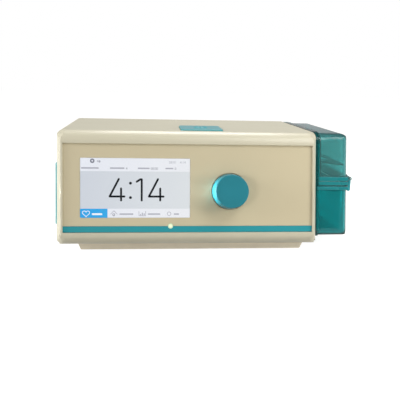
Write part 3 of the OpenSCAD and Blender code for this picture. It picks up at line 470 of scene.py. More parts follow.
def use_group(tree, group, **values):
    """Places a shader group in a material, with this material's own values."""
    node = tree.nodes.new("ShaderNodeGroup")
    node.node_tree = group
    tune(node, **values)
    return node


def tone(colour, factor):
    """A colour made darker or lighter, at most white."""
    return tuple(min(1.0, c * factor) for c in colour)


def blend_colour(tree, factor, low, high):
    """A colour mixed by a factor socket between two colours or sockets."""
    node = tree.nodes.new("ShaderNodeMix")
    node.data_type = "RGBA"
    wire(tree, factor, node.inputs["Factor"])
    for label, value in (("A", low), ("B", high)):
        socket = [s for s in node.inputs if s.name == label and s.type == "RGBA"][0]
        if isinstance(value, tuple):
            socket.default_value = (*value, 1.0)
        else:
            wire(tree, value, socket)
    return [s for s in node.outputs if s.type == "RGBA"][0]


def bump(tree, shader, height, strength, distance):
    """Bends a shader's normals by a height socket, with the distance in metres."""
    node = tree.nodes.new("ShaderNodeBump")
    tune(node, Strength=strength, Distance=distance)
    wire(tree, height, node.inputs["Height"])
    wire(tree, node.outputs["Normal"], shader.inputs["Normal"])


# %% [markdown]
# A plastic is a Principled shader whose colour drifts between two close tones, with the skin
# group's roughness and grain. Cream parts also get painted shade, darker towards the table. The
# base's cream is painted much lighter than the case's, against the shade under the case. The
# rims and the beads of the chamber are so deep in colour that they look solid; the beads' lighter
# teal is partly a painted highlight along the chamber's edge. The clear and lit finishes are
# built by their own functions further down, because each needs other sockets.
# %% Opaque plastics
def plastic(name, colour, drift=0.05, rough=0.4, depth=0.3, coat=0.0, foot_shade_strength=0.0,
            shine=0.5):
    """Moulded plastic: a drifting colour, an uneven shine, a spark-eroded grain and optional
    painted shade near the foot.
    """
    material, tree, shader = principled(name)
    moulded = use_group(tree, skin, Grain_scale=1400.0, Grain_depth=depth, Base_roughness=rough,
                        Roughness_spread=0.12)
    tint = blend_colour(tree, moulded.outputs["Tone"], tone(colour, 1 - drift),
                        tone(colour, 1 + drift))
    # Painted shade: the colour darkens towards the table, near the foot.
    if foot_shade_strength:
        foot_shade_node = use_group(tree, foot_shade, Reach=0.03, Strength=foot_shade_strength)
        tint = blend_colour(tree, foot_shade_node.outputs["Mask"], tint, tone(colour, 0.45))
    wire(tree, tint, shader.inputs["Base Color"])
    wire(tree, moulded.outputs["Roughness"], shader.inputs["Roughness"])
    tune(shader, Coat_Weight=coat, Coat_Roughness=0.12, Specular_IOR_Level=shine)
    bump(tree, shader, moulded.outputs["Height"], 0.25, 0.0002)
    material.diffuse_color = (*colour, 1)
    return material


# The cream pieces get painted shade near the foot.
cream = plastic("case cream", (0.54, 0.508, 0.392), rough=0.36, coat=0.12, foot_shade_strength=0.5)
# Painted light: the base is the case's cream made much lighter, against the shade under the case;
# the dock plate shares it.
cream_painted_lighter = plastic("base cream painted lighter", (0.90, 0.815, 0.655), rough=0.5, foot_shade_strength=0.4)
fascia_cream = plastic("fascia cream", (0.525, 0.462, 0.315), rough=0.52, depth=0.5, drift=0.04)
teal_trim = plastic("stripe teal", (0.02, 0.27, 0.32), rough=0.36, coat=0.05, shine=0.35)
teal_knob = plastic("knob teal", (0.008, 0.175, 0.225), rough=0.42, depth=0.2)
teal_button = plastic("button teal", (0.07, 0.33, 0.37), rough=0.3, coat=0.2, depth=0.2)
teal_cover = plastic("filter cover teal", (0.20, 0.56, 0.64), rough=0.32, coat=0.2, depth=0.2)
inner_grey = plastic("inner moulding grey", (0.50, 0.52, 0.52), rough=0.55)
black_part = plastic("black moulding", (0.018, 0.019, 0.021), rough=0.45)
rim_teal = plastic("thick rim teal", (0.004, 0.185, 0.205), rough=0.28, coat=0.2, depth=0.1,
                   drift=0.12)
# Painted highlight: the bead is a lighter teal than the rims, for the light line along the
# chamber's edge.
bead_teal_painted_highlight = plastic("bead teal with painted highlight", (0.045, 0.215, 0.225), rough=0.22, coat=0.4, depth=0.1,
                    drift=0.12)
lcd_black = plastic("display surround", (0.03, 0.032, 0.036), rough=0.35)
impeller_white = plastic("impeller white", (0.78, 0.79, 0.79), rough=0.3, coat=0.2)
cone_white = plastic("outlet cone white", (0.76, 0.775, 0.76), rough=0.28, coat=0.3, depth=0.15)
print("plastics ready")

# %% [markdown]
# Rubber feet and seals scatter light softly and have a cloudy, slightly dusty skin. The foams of
# the filter and the muffler are open cells: a Voronoi pattern gives their depth, and paints shade
# into the pores. The heater plates and pins are bare metal with brushing along one direction.
# %% Rubber, foam and metal
def rubber(name, colour, rough):
    """Soft rubber with a coarse, cloudy skin and little shine."""
    material, tree, shader = principled(name)
    moulded = use_group(tree, skin, Grain_scale=2200.0, Grain_depth=0.7, Base_roughness=rough,
                        Roughness_spread=0.2)
    tint = blend_colour(tree, moulded.outputs["Tone"], tone(colour, 0.8), tone(colour, 1.25))
    wire(tree, tint, shader.inputs["Base Color"])
    wire(tree, moulded.outputs["Roughness"], shader.inputs["Roughness"])
    tune(shader, Specular_IOR_Level=0.35)
    bump(tree, shader, moulded.outputs["Height"], 0.35, 0.0003)
    return material


def foam(name, colour, cell):
    """Open foam: pores with depth and painted shade in them, finer where cell is larger."""
    material, tree, shader = principled(name)
    pores = tree.nodes.new("ShaderNodeTexVoronoi")
    tune(pores, Scale=cell)
    wire(tree, own_place(tree), pores.inputs["Vector"])
    # Painted shade: the pores are darker towards their middle.
    tint = blend_colour(tree, pores.outputs["Distance"], tone(colour, 0.25), tone(colour, 1.5))
    wire(tree, tint, shader.inputs["Base Color"])
    tune(shader, Roughness=0.95)
    bump(tree, shader, pores.outputs["Distance"], 0.9, 0.0006)
    return material


def metal(name, colour, rough, across):
    """Bare metal with fine brushing: noise squeezed along every axis but the brushed one."""
    material, tree, shader = principled(name)
    stretch = tree.nodes.new("ShaderNodeMapping")
    tune(stretch, Scale=across)
    wire(tree, own_place(tree), stretch.inputs["Vector"])
    lines = noise(tree, stretch.outputs["Vector"], 1.0, 4.0, 0.6)
    tint = blend_colour(tree, lines, tone(colour, 0.86), colour)
    wire(tree, tint, shader.inputs["Base Color"])
    wire(tree, sums(tree, "ADD", sums(tree, "MULTIPLY", lines, 0.22), rough - 0.1),
         shader.inputs["Roughness"])
    tune(shader, Metallic=1.0)
    bump(tree, shader, lines, 0.12, 0.0001)
    return material


foot_rubber = rubber("foot rubber", (0.035, 0.037, 0.038), 0.8)
grey_rubber = rubber("soft grey rubber", (0.06, 0.068, 0.07), 0.62)
filter_foam_finish = foam("filter foam", (0.10, 0.13, 0.14), 900.0)
aluminium = metal("brushed aluminium", (0.74, 0.75, 0.76), 0.38, (3000.0, 60.0, 3000.0))
steel = metal("pin steel", (0.62, 0.63, 0.64), 0.3, (2500.0, 80.0, 2500.0))
print("rubber, foam and metal ready")

# %% [markdown]
# The chamber and its lid are moulded in a clear tinted plastic, 2 mm thick. The surface is a
# Principled shader with high transmission, which bends the light. Its tint turns darker where
# the surface slants away, as seen by a Layer Weight. The rest of the tint sits in the body of
# the plastic, as a Volume Absorption: light loses most of its red and some of its green and
# blue on each millimetre. The tub is a deeper teal than the lid. The latch bar and the thick
# rims let little light through. The bend is set lower than a real plastic's, which keeps white
# reflections off the teal. A little haze in the roughness stands for the fine scratches of
# daily rinsing.
# %% Clear tinted plastics
def clear_plastic(name, colour, rough, clearness, haze=0.04, bend=1.49, rim=None):
    """Clear plastic, with a rim colour for where its surface slants away."""
    material, tree, shader = principled(name)
    moulded = use_group(tree, skin, Grain_scale=500.0, Grain_depth=0.2, Base_roughness=rough,
                        Roughness_spread=haze, Flow_scale=14.0)
    tint = blend_colour(tree, moulded.outputs["Tone"], tone(colour, 0.92), colour)
    if rim:
        slant = tree.nodes.new("ShaderNodeLayerWeight")
        tune(slant, Blend=0.35)
        tint = blend_colour(tree, slant.outputs["Facing"], tint, rim)
    wire(tree, tint, shader.inputs["Base Color"])
    wire(tree, moulded.outputs["Roughness"], shader.inputs["Roughness"])
    tune(shader, Transmission_Weight=clearness, IOR=bend)
    bump(tree, shader, moulded.outputs["Height"], 0.01, 0.0001)
    return material


def tinted_plastic(name, colour, rim, kept, loss, clearness):
    """Clear plastic that takes loss per metre, less where the kept colour is high."""
    material = clear_plastic(name, colour, 0.06, clearness, bend=1.34, rim=rim)
    tree = material.node_tree
    body = tree.nodes.new("ShaderNodeVolumeAbsorption")
    tune(body, Color=(*kept, 1), Density=loss)
    wire(tree, body.outputs[0], tree.nodes["Material Output"].inputs["Volume"])
    return material


clear_tub = tinted_plastic("tub clear teal", (0.04, 0.68, 0.70), (0.0, 0.10, 0.14),
                           (0.0, 0.80, 0.80), 620.0, 0.90)
clear_lid = tinted_plastic("lid clear teal", (0.34, 0.86, 0.86), (0.04, 0.46, 0.54),
                           (0.10, 0.50, 0.47), 330.0, 0.88)
clear_latch = tinted_plastic("latch clear teal", (0.01, 0.46, 0.53), (0.0, 0.20, 0.25),
                             (0.0, 0.85, 0.87), 150.0, 0.35)
clear_baffle = tinted_plastic("baffle clear teal", (0.10, 0.60, 0.60), (0.02, 0.40, 0.42),
                              (0.0, 0.70, 0.70), 300.0, 0.85)
silicone = clear_plastic("seal silicone", (0.28, 0.56, 0.56), 0.35, 0.4)
window_glass = clear_plastic("display cover", (0.98, 0.98, 0.99), 0.04, 1.0, 0.02, 1.15)
print("clear plastics ready")

# %% [markdown]
# A lit screen sends out its own light, so its pictures are Emission on a dark surface. Each
# screen colour has its own small material, and the big ones drift slightly from left to right
# as a cheap panel does when it is seen from the side.
# %% Screen light
SWEEP_START = at(16, 0, 0).x
SWEEP_END = at(111, 0, 0).x


def screen_light(name, left, right_colour, strength=0.93):
    """A lit screen colour that drifts from left to right."""
    material, tree, shader = principled(name)
    split = tree.nodes.new("ShaderNodeSeparateXYZ")
    wire(tree, own_place(tree), split.inputs[0])
    sweep = tree.nodes.new("ShaderNodeMapRange")
    tune(sweep, From_Min=SWEEP_START, From_Max=SWEEP_END)
    wire(tree, split.outputs["X"], sweep.inputs["Value"])
    wire(tree, blend_colour(tree, sweep.outputs[0], left, right_colour),
         shader.inputs["Emission Color"])
    tune(shader, Emission_Strength=strength, Base_Color=(0.01, 0.01, 0.01, 1), Roughness=0.5,
         Specular_IOR_Level=0.1)
    return material


screen_grey = screen_light("screen grey", (0.69, 0.735, 0.80), (0.82, 0.86, 0.88))
screen_white = screen_light("screen white", (0.90, 0.93, 1.0), (0.95, 0.97, 1.0))
screen_blue = screen_light("screen blue", (0.03, 0.42, 0.90), (0.06, 0.50, 0.88))
screen_ink = screen_light("screen ink", (0.004, 0.006, 0.010), (0.004, 0.006, 0.010))
screen_soft_ink = screen_light("screen soft ink", (0.22, 0.23, 0.29), (0.26, 0.27, 0.32))
screen_pale_ink = screen_light("screen pale ink", (0.45, 0.46, 0.53), (0.50, 0.51, 0.57))
screen_bright = screen_light("screen bright", (0.93, 0.97, 1.0), (0.93, 0.97, 1.0), 1.0)
print("screen colours ready")

# %% [markdown]
# The status lamp is a lens of lit plastic. It is brightest over the diode and fades to its edge,
# so its colour follows the distance from its middle.
# %% Lamp glow
def lamp_light(name, colour, edge_colour, centre, reach):
    """Lit plastic, brightest at the centre and dimmer towards its edge."""
    material, tree, shader = principled(name)
    span = tree.nodes.new("ShaderNodeVectorMath")
    span.operation = "DISTANCE"
    wire(tree, own_place(tree), span.inputs[0])
    span.inputs[1].default_value = centre
    fade = tree.nodes.new("ShaderNodeMapRange")
    tune(fade, From_Max=reach)
    wire(tree, span.outputs["Value"], fade.inputs["Value"])
    wire(tree, blend_colour(tree, fade.outputs[0], colour, edge_colour),
         shader.inputs["Emission Color"])
    tune(shader, Emission_Strength=1.0, Base_Color=(0.3, 0.32, 0.24, 1), Roughness=0.3)
    return material


lamp_centre = FASCIA @ (Vector((LAMP_U, STRIPE_TOP + 0.2, 0.2)) * MM)
lamp_glow = lamp_light("lamp glow", (0.92, 0.90, 0.50), (0.10, 0.30, 0.24), lamp_centre, 2.6 * MM)
print("glow centre:", [round(c, 4) for c in lamp_centre])

# %% [markdown]
# The moulded shells already have their true shape in the solids: a leaning front that rolls over
# into the top, sides that swell out behind the lips, and rounded back corners. A copy of such a
# solid is taken, its loose triangles are joined and flat areas are cleaned, and its sharp edges
# get the small radius of a mould, so that they catch the light. Where the sides of the case
# turn into its foot, a larger radius is put on first.
# %% Refined copies of the moulded shells
def shell_of(node, name, edge):
    """A smooth copy of a solid, with its sharp edges rounded by edge millimetres."""
    piece = bpy.data.objects.new(name, nodes[node].data.copy())
    bpy.context.scene.collection.objects.link(piece)
    hold(piece)
    bpy.ops.object.mode_set(mode="EDIT")
    bpy.ops.mesh.select_all(action="SELECT")
    bpy.ops.mesh.remove_doubles(threshold=1e-6)
    bpy.ops.mesh.dissolve_limited(angle_limit=math.radians(0.4))
    bpy.ops.object.mode_set(mode="OBJECT")
    if "custom_normal" in piece.data.attributes:
        piece.data.attributes.remove(piece.data.attributes["custom_normal"])
    if edge:
        soften(piece, edge)
    return smooth(piece, 30)


case_shell = shell_of("upper_case", "case_shell", 0)
LEFT_END = at(1, 0, 0).x
RIGHT_END = at(221, 0, 0).x
FOOT_LIMIT = at(0, 0, 15).z


def foot_corner(edge):
    """True where a side of the case meets its foot."""
    if len(edge.link_faces) != 2 or middle(edge).z > FOOT_LIMIT:
        return False
    if LEFT_END < middle(edge).x < RIGHT_END:
        return False
    foot, side = (face.normal for face in sorted(edge.link_faces, key=lambda f: abs(f.normal.x)))
    outward = side.x * middle(edge).x > 0
    return outward and abs(side.x) > 0.6 and abs(foot.x) < 0.2 and foot.z < -0.25


FOOT_RADIUS = 4.6
round_edges(case_shell, FOOT_RADIUS, 6, foot_corner)
soften(case_shell, 0.35)
smooth(case_shell, 30)
place(case_shell, "case", cream, "case_cream", "upper_case")
base_plinth = shell_of("base_tray", "base_plinth", 0.4)
place(base_plinth, "case", cream_painted_lighter, "base_cream", "base_tray")

# %% [markdown]
# The fascia is a flat, slightly matt panel set 1.5 mm behind the frame's lips. It has a window
# for the display, a shallow round recess around the knob and a small hole for the status lamp.
# It is drawn flat, with every opening cut and its rims rounded, and then laid on the slope. Its
# ends reach under the lips, and a flange and a rib behind it close the gaps below and above.
# Cutters reach well past the panel, so that no cut ends level with one of its faces.
# %% Fascia
REACH_U = 1.4
BEHIND_U = 1.8
FASCIA_BACK = -2.5
FLANGE_FACE = -1.1
RECESS_R = 16.3
SHAFT_HOLE_R = 4.2
LAMP_HOLE_R = 2.3
LENS_R = 2.2
THROUGH = 5
SMALL_SIDES = 48


def disc(name, u, v, radius, low, high, sides=96):
    """A cylinder on the flat drawing of the fascia, in millimetres."""
    hold_none()
    bpy.ops.mesh.primitive_cylinder_add(
        vertices=sides, radius=radius * MM, depth=(high - low) * MM,
        location=Vector((u, v, (low + high) / 2)) * MM)
    piece = bpy.context.object
    piece.name = name
    bpy.ops.object.transform_apply(location=True, rotation=False, scale=False)
    return piece


def lamp_hole(piece):
    """Cuts the hole for the status lamp, on the upper edge of the stripe."""
    cutter = disc("hole", LAMP_U, STRIPE_TOP, LAMP_HOLE_R, -THROUGH, THROUGH, SMALL_SIDES)
    return carve(piece, cutter)


def display_slab(name, inset, low, high):
    """A block with the outline of the display, drawn in by so many millimetres."""
    return slab(name, (DISPLAY[0] + inset, DISPLAY[1] + inset, low),
                (DISPLAY[2] - inset, DISPLAY[3] - inset, high))


fascia = slab("fascia", (REACH_U, STRIPE_TOP + 0.1, FASCIA_BACK),
              (FRONT_W - REACH_U, FASCIA_TOP + 0.4, 0))
opening = display_slab("opening", 0, -THROUGH, THROUGH)
round_columns(opening, 1.0, 6)
carve(fascia, opening)
carve(fascia, disc("recess", KNOB_U, KNOB_V, RECESS_R, -1.0, THROUGH))
carve(fascia, disc("bore", KNOB_U, KNOB_V, SHAFT_HOLE_R, -THROUGH, THROUGH, SMALL_SIDES))
lamp_hole(fascia)
soften(fascia, 0.18)
fascia_flange = slab("fascia_flange", (BEHIND_U, STRIPE_V - 1.2, FASCIA_BACK),
                     (FRONT_W - BEHIND_U, STRIPE_V + 6, FLANGE_FACE))
lamp_hole(fascia_flange)
fascia_rib = slab("fascia_rib", (BEHIND_U, FASCIA_TOP - 0.5, FASCIA_BACK),
                  (FRONT_W - BEHIND_U, FASCIA_TOP + 0.6, FLANGE_FACE))
join("fascia", [fascia, fascia_flange, fascia_rib])
smooth(lay(fascia, FASCIA))
place(fascia, "case", fascia_cream, "fascia_cream", "fascia_panel")

# %% [markdown]
# The stripe is a smooth strip below the fascia, three tenths of a millimetre proud, with rounded
# long edges. Its ends reach under the lips too. The lamp is a small lit lens that straddles the
# stripe's upper edge. It is made as a cap: a cylinder whose top face is inset and lifted.
# %% Stripe and status lamp
stripe = slab("stripe", (REACH_U, STRIPE_V, -1.0), (FRONT_W - REACH_U, STRIPE_TOP, 0.3))
lamp_hole(stripe)
soften(stripe, 0.22, 3)
smooth(lay(stripe, FASCIA))
place(stripe, "case", teal_trim, "teal_trim", "trim_stripe")

status_lens = disc("status_lens", LAMP_U, STRIPE_TOP, LENS_R, -4.5, 0.1, SMALL_SIDES)
choose(status_lens, "FACE", lambda face: face.normal.z > 0.9)
for inward, lift in ((0.5, 0.25), (0.6, 0.12)):
    bpy.ops.mesh.inset(thickness=inward * MM)
    bpy.ops.transform.translate(value=(0, 0, lift * MM))
done(status_lens)
smooth(lay(status_lens, FASCIA), 50)
place(status_lens, "case", lamp_glow, "lamp_lens", "status_lamp")

# %% [markdown]
# The display is a sandwich: a dark module at the back, a lit sheet, and a clear cover level with
# the fascia. What it shows is drawn in thin layers on the lit sheet: a pale header, a grey
# field with a big clock, and four keys, the first one lit blue. All marks are generic: clock
# digits, plain numbers, short bars where a caption would be, and simple outline signs.
# %% Display body
SHEET = -0.62
MARK = SHEET + 0.05
THIN = 0.04
LCD_STEP = -2.6
LCD_BACK = LCD_STEP - 4
RING_SIDES = 28


def on_screen(s, t, height=0):
    """A point on the flat drawing, from shares of the screen's width and height."""
    return Vector((DISPLAY[0] + s * DISPLAY_W, DISPLAY[1] + t * DISPLAY_H, height))


def show(piece, material):
    """Lays a flat mark on the screen and lets it ride with the display."""
    lay(piece, FASCIA)
    piece.data.materials.append(material)
    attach(piece, "case")
    return piece


lcd_frame = slab("lcd_frame", (DISPLAY[0] - 4, DISPLAY[1] - 3.5, LCD_BACK),
                 (DISPLAY[2] + 4, DISPLAY[3] + 3.5, LCD_STEP))
soften(lcd_frame, 0.5)
lcd_rise = display_slab("lcd_rise", 0.15, LCD_STEP, SHEET - 0.1)
round_columns(lcd_rise, 0.9, 5)
join("lcd_frame", [lcd_frame, lcd_rise])
smooth(lay(lcd_frame, FASCIA))
place(lcd_frame, "case", lcd_black, "lcd", "lcd_module")

display_cover = display_slab("display_cover", 0.1, -0.45, -0.05)
round_columns(display_cover, 0.9, 6)
soften(display_cover, 0.1)
smooth(lay(display_cover, FASCIA))
place(display_cover, "case", window_glass, "display_glass", "display_window")

# %% [markdown]
# The pictures are thin plates and lines. Plates are placed by shares of the screen's width and
# height. A line is a row of bars with a small disc at each turn and end, so that it keeps its
# width round the corners.
# %% Display pictures: fields and keys
START = 0.002
END = 0.998
KEYS_TOP = 0.153
HEADER_FOOT = 0.777
LIT_END = 0.247
screen_parts = [
    ("field", START, KEYS_TOP, END, HEADER_FOOT, screen_grey),
    ("header", START, HEADER_FOOT, END, END, screen_white),
    ("key_row", LIT_END, START, END, KEYS_TOP, screen_white),
    ("key_lit", START, START, LIT_END, KEYS_TOP, screen_blue),
]
for label, s0, t0, s1, t1, material in screen_parts:
    show(slab("screen_" + label, on_screen(s0, t0, SHEET - THIN), on_screen(s1, t1, SHEET)),
         material)
print("screen fields:", len(screen_parts))


def stroke(name, points, width, closed=False, round_ends=True):
    """A flat line of even width, drawn through shares of the screen's width and height."""
    spots = [on_screen(s, t) for s, t in points]
    if closed:
        spots.append(spots[0])
    half = width / 2
    pieces = []
    for begin, end in zip(spots, spots[1:]):
        run = end - begin
        bar = slab(name, (-half * 0.2, -half, MARK - THIN), (run.length + half * 0.2, half, MARK))
        turn = Matrix.Rotation(math.atan2(run.y, run.x), 4, "Z")
        lay(bar, Matrix.Translation(begin * MM) @ turn)
        pieces.append(bar)
    for spot in spots if round_ends else spots[1:-1]:
        pieces.append(disc(name, spot.x, spot.y, half, MARK - THIN, MARK - 0.001, 20))
    return join(name, pieces)


# %% [markdown]
# The big clock is what the eye finds first. Its digits are open shapes of one line width, so they
# are drawn by the same lines, with two dots between the hours and the minutes.
# %% Display pictures: the clock
CLOCK_LINE = 1.75


def clock_four(name, left):
    """The digit 4, with an open top, from the left end of its bar."""
    slant = stroke(name, [(left + 0.090, 0.648), (left + 0.008, 0.357), (left + 0.141, 0.357)],
                   CLOCK_LINE)
    stem = stroke(name, [(left + 0.111, 0.490), (left + 0.111, 0.292)], CLOCK_LINE)
    return show(join(name, [slant, stem]), screen_ink)


clock_four("screen_clock_a", 0.258)
clock_four("screen_clock_d", 0.614)
show(stroke("screen_clock_c", [(0.511, 0.606), (0.544, 0.645), (0.556, 0.645), (0.556, 0.292)],
            CLOCK_LINE), screen_ink)
dots = [disc("dot", *on_screen(0.454, t).xy, 1.22, MARK - THIN, MARK, RING_SIDES)
        for t in (0.579, 0.339)]
show(join("screen_clock_b", dots), screen_ink)

# %% [markdown]
# Captions on the real screen are words. Here each is a short rounded bar, and only plain numbers
# are written, as small flat text turned into mesh.
# %% Display pictures: the header
TEXT = 3.0
STATUS_T = 0.915
VALUE_T = 0.808


def caption_bar(name, s0, s1, t, thick, material):
    """A rounded bar in the place of a caption, thick in millimetres."""
    half = thick / DISPLAY_H / 2
    bar = slab(name, on_screen(s0, t - half, MARK - THIN), on_screen(s1, t + half, MARK))
    return show(round_columns(bar, thick * 0.42, 3), material)


def number(name, words, s, t, size, material):
    """Plain digits on the screen, as flat mesh."""
    hold_none()
    bpy.ops.object.text_add(location=(0, 0, 0))
    piece = bpy.context.object
    piece.name = name
    piece.data.body = words
    piece.data.size = size * MM
    piece.data.extrude = 0.02 * MM
    bpy.ops.object.convert(target="MESH")
    piece = bpy.context.object
    piece.name = name
    return show(shift(piece, on_screen(s, t, SHEET + 0.03) * MM), material)


def ring(name, s, t, radius, width, material):
    """A thin ring on the screen."""
    centre = on_screen(s, t).xy
    piece = disc(name, *centre, radius, MARK - THIN, MARK, RING_SIDES)
    carve(piece, disc("hole", *centre, radius - width, SHEET - 1, SHEET + 1, RING_SIDES))
    return show(piece, material)


ring("screen_state", 0.110, 0.949, 1.95, 1.25, screen_soft_ink)
caption_bar("screen_signal_a", 0.152, 0.160, 0.944, 1.6, screen_pale_ink)
caption_bar("screen_signal_b", 0.164, 0.184, 0.940, 2.0, screen_pale_ink)
number("screen_date", "28/01", 0.803, STATUS_T, TEXT, screen_pale_ink)
number("screen_time", "4:14", 0.905, STATUS_T, TEXT, screen_pale_ink)
header_captions = [("mode", 0.010, 0.168), ("level", 0.268, 0.400), ("warm", 0.520, 0.628),
                   ("ramp", 0.772, 0.845)]
for label, s0, s1 in header_captions:
    caption_bar("screen_head_" + label, s0, s1, 0.830, 1.25, screen_pale_ink)
number("screen_head_level_value", "4", 0.411, VALUE_T, TEXT, screen_soft_ink)
number("screen_head_warm_value", "00:00", 0.638, VALUE_T, TEXT - 0.1, screen_soft_ink)
number("screen_head_ramp_value", "0", 0.857, VALUE_T, TEXT, screen_soft_ink)
print("header captions:", len(header_captions))

# %% [markdown]
# The signs on the keys are a heart, a drop under a roof, a small bar chart and a cog, drawn as
# lines and rings. The heart is a closed line through a known curve.
# %% Display pictures: the keys
HEART_STEPS = 28
heart = []
for step in range(HEART_STEPS):
    turn = step / HEART_STEPS * 2 * math.pi
    heart_x = 16 * math.sin(turn) ** 3
    heart_y = (13 * math.cos(turn) - 5 * math.cos(2 * turn) - 2 * math.cos(3 * turn)
               - math.cos(4 * turn))
    heart.append((0.0545 + heart_x * 0.00205, 0.0740 + heart_y * 0.0035))
show(stroke("screen_sign_heart", heart, 0.50, closed=True), screen_bright)
show(stroke("screen_sign_roof", [(0.276, 0.062), (0.305, 0.118), (0.334, 0.062)], 0.5),
     screen_pale_ink)
ring("screen_sign_drop", 0.303, 0.052, 1.15, 0.5, screen_soft_ink)
show(stroke("screen_sign_chart", [(0.531, 0.110), (0.531, 0.034), (0.592, 0.034), (0.592, 0.110)],
            0.45), screen_pale_ink)
for column, rise in enumerate((0.062, 0.084, 0.072)):
    s = 0.545 + 0.0165 * column
    show(stroke("screen_sign_column_%d" % column, [(s, 0.042), (s, rise)], 0.9, round_ends=False),
         screen_pale_ink)
ring("screen_sign_cog", 0.807, 0.068, 1.8, 0.5, screen_pale_ink)
for label, s0, s1, material, thick in (("a", 0.106, 0.200, screen_bright, 1.6),
                                       ("b", 0.354, 0.480, screen_pale_ink, 1.2),
                                       ("c", 0.612, 0.726, screen_pale_ink, 1.2),
                                       ("d", 0.850, 0.898, screen_pale_ink, 1.2)):
    caption_bar("screen_key_" + label, s0, s1, 0.062, thick, material)
print("screen drawn")

# %% [markdown]
# The knob is a drafted cap with a smooth side: wide at its foot, a little narrower at its flat
# face, with a crisp rounded rim. It is made from one cylinder whose top is drawn in. It is hollow
# from below, around a boss that takes the shaft.
# %% Knob
KNOB_R = 15.6
KNOB_FACE_R = 14.43
KNOB_H = 14.6

knob = disc("knob", 0, 0, KNOB_R, -0.2, KNOB_H, 128)
choose(knob, "VERT", lambda vert: vert.co.z > (KNOB_H - 0.6) * MM)
bpy.ops.transform.resize(value=(KNOB_FACE_R / KNOB_R, KNOB_FACE_R / KNOB_R, 1),
                         center_override=(0, 0, KNOB_H * MM))
done(knob)
round_edges(knob, 0.9, 5, lambda edge: middle(edge).z > (KNOB_H - 0.1) * MM and not upright(edge)
            and len(edge.link_faces) == 2 and abs(edge.link_faces[0].normal.z
                                                  - edge.link_faces[1].normal.z) > 0.5)
choose(knob, "FACE", lambda face: face.normal.z > 0.99)
bpy.ops.mesh.inset(thickness=0.5 * MM)
bpy.ops.transform.translate(value=(0, 0, -0.06 * MM))
done(knob)
choose(knob, "FACE", lambda face: face.normal.z < -0.99)
for inward, lift in ((1.8, 11.2), (8.6, -10.2)):
    bpy.ops.mesh.inset(thickness=inward * MM)
    bpy.ops.mesh.extrude_region_move(TRANSFORM_OT_translate={"value": (0, 0, lift * MM)})
done(knob)
smooth(lay(knob, FASCIA @ Matrix.Translation(Vector((KNOB_U, KNOB_V, 0)) * MM)), 40)
place(knob, "knob", teal_knob, "teal_knob", "control_knob")

# %% [markdown]
# The start button is a square cap with soft corners that stands a millimetre above the case. A
# skirt below keeps it in its hole, and a post presses the switch. Its face carries a raised power
# sign: a ring that is open at the back, with a short bar in the gap. The ring is a torus with a
# slice taken out.
# %% Start button
BUTTON = (123.0, 53.5)
BUTTON_FOOT = 101.4
BUTTON_HALF = 19
GAP_HALF = 2.3
BAR_HALF = 0.7
BUTTON_TOP = CASE_TOP + 1.2


def button_slab(name, half, low, high):
    """A square block around the button's middle, half as wide as given."""
    return slab(name, (BUTTON[0] - half, BUTTON[1] - half, low),
                (BUTTON[0] + half, BUTTON[1] + half, high))


button = button_slab("start_button_cap", BUTTON_HALF, BUTTON_FOOT, BUTTON_TOP)
round_columns(button, 2.5, 6)
round_edges(button, 0.45, 3, lambda edge: middle(edge).z > (BUTTON_TOP - 0.01) * MM)
choose(button, "FACE", lambda face: face.normal.z < -0.99)
bpy.ops.mesh.inset(thickness=2.0 * MM)
bpy.ops.mesh.extrude_region_move(TRANSFORM_OT_translate={"value": (0, 0, 3.0 * MM)})
done(button)
skirt = button_slab("skirt", 20.6, BUTTON_FOOT, 102.85)
round_columns(skirt, 3.0, 5)
carve(skirt, button_slab("core", 17.2, 100, 104))
post = disc("post", *BUTTON, 3.0, 98.2, 104.6, 32)
hold_none()
bpy.ops.mesh.primitive_torus_add(major_radius=5.8 * MM, minor_radius=0.75 * MM, major_segments=64,
                                 minor_segments=16,
                                 location=Vector((*BUTTON, BUTTON_TOP - 0.2)) * MM)
power_ring = bpy.context.object
bpy.ops.object.transform_apply(location=True, rotation=False, scale=False)
gap = slab("gap", (BUTTON[0] - GAP_HALF, BUTTON[1] + 1, BUTTON_TOP - 3),
           (BUTTON[0] + GAP_HALF, BUTTON[1] + 9, BUTTON_TOP + 3))
carve(power_ring, gap)
power_bar = slab("bar", (BUTTON[0] - BAR_HALF, BUTTON[1] + 1.2, BUTTON_TOP - 0.5),
                 (BUTTON[0] + BAR_HALF, BUTTON[1] + 7.4, BUTTON_TOP + 0.4))
round_columns(power_bar, 0.6, 4)
join("start_button_cap", [button, skirt, post, power_ring, power_bar])
smooth(shift(button, CORNER), 40)
place(button, "button", teal_button, "button_teal", "start_button")

# %% [markdown]
# The chamber is a tub with a full-height back plate, and a lid that hinges on that plate. All of
# it is clear, so the inner walls, the seal, the splash plate and the pins are seen through it.
# The copies keep their true wall thickness, with small radii on every rim. The walls of the tub
# are drawn down until its foot is level with the foot of the plate. Strips on the front mark
# where the plastic is thick and lets little light through: a bead next to the case, and the rims
# where tub and lid meet. The bead's lighter teal is also a painted highlight along the chamber's
# edge. They stand a little proud, so that their edges catch the light.
# %% Water chamber
PLATE_FOOT = 10.1
TUB_FOOT = 11.5
STRETCH_TOP = 20.0

tub = shell_of("water_tub", "tub_shell", 0.3)
choose(tub, "VERT", lambda vert: vert.co.z < STRETCH_TOP * MM)
stretch = (STRETCH_TOP - PLATE_FOOT) / (STRETCH_TOP - TUB_FOOT)
bpy.ops.transform.resize(value=(1, 1, stretch), center_override=(0, 0, STRETCH_TOP * MM))
done(tub)
choose(tub, "VERT", lambda vert: vert.co.z < PLATE_FOOT * MM)
bpy.ops.transform.resize(value=(1, 1, 0), center_override=(0, 0, PLATE_FOOT * MM))
smooth(done(tub), 30)
place(tub, "chamber", clear_tub, "tub_teal", "water_tub")
lid = shell_of("chamber_lid", "lid_shell", 0.3)
place(lid, "lid", clear_lid, "lid_teal", "chamber_lid")
latch = shell_of("lid_latch", "latch_bar", 0.7)
place(latch, "latch", clear_latch, "latch_teal", "lid_latch")

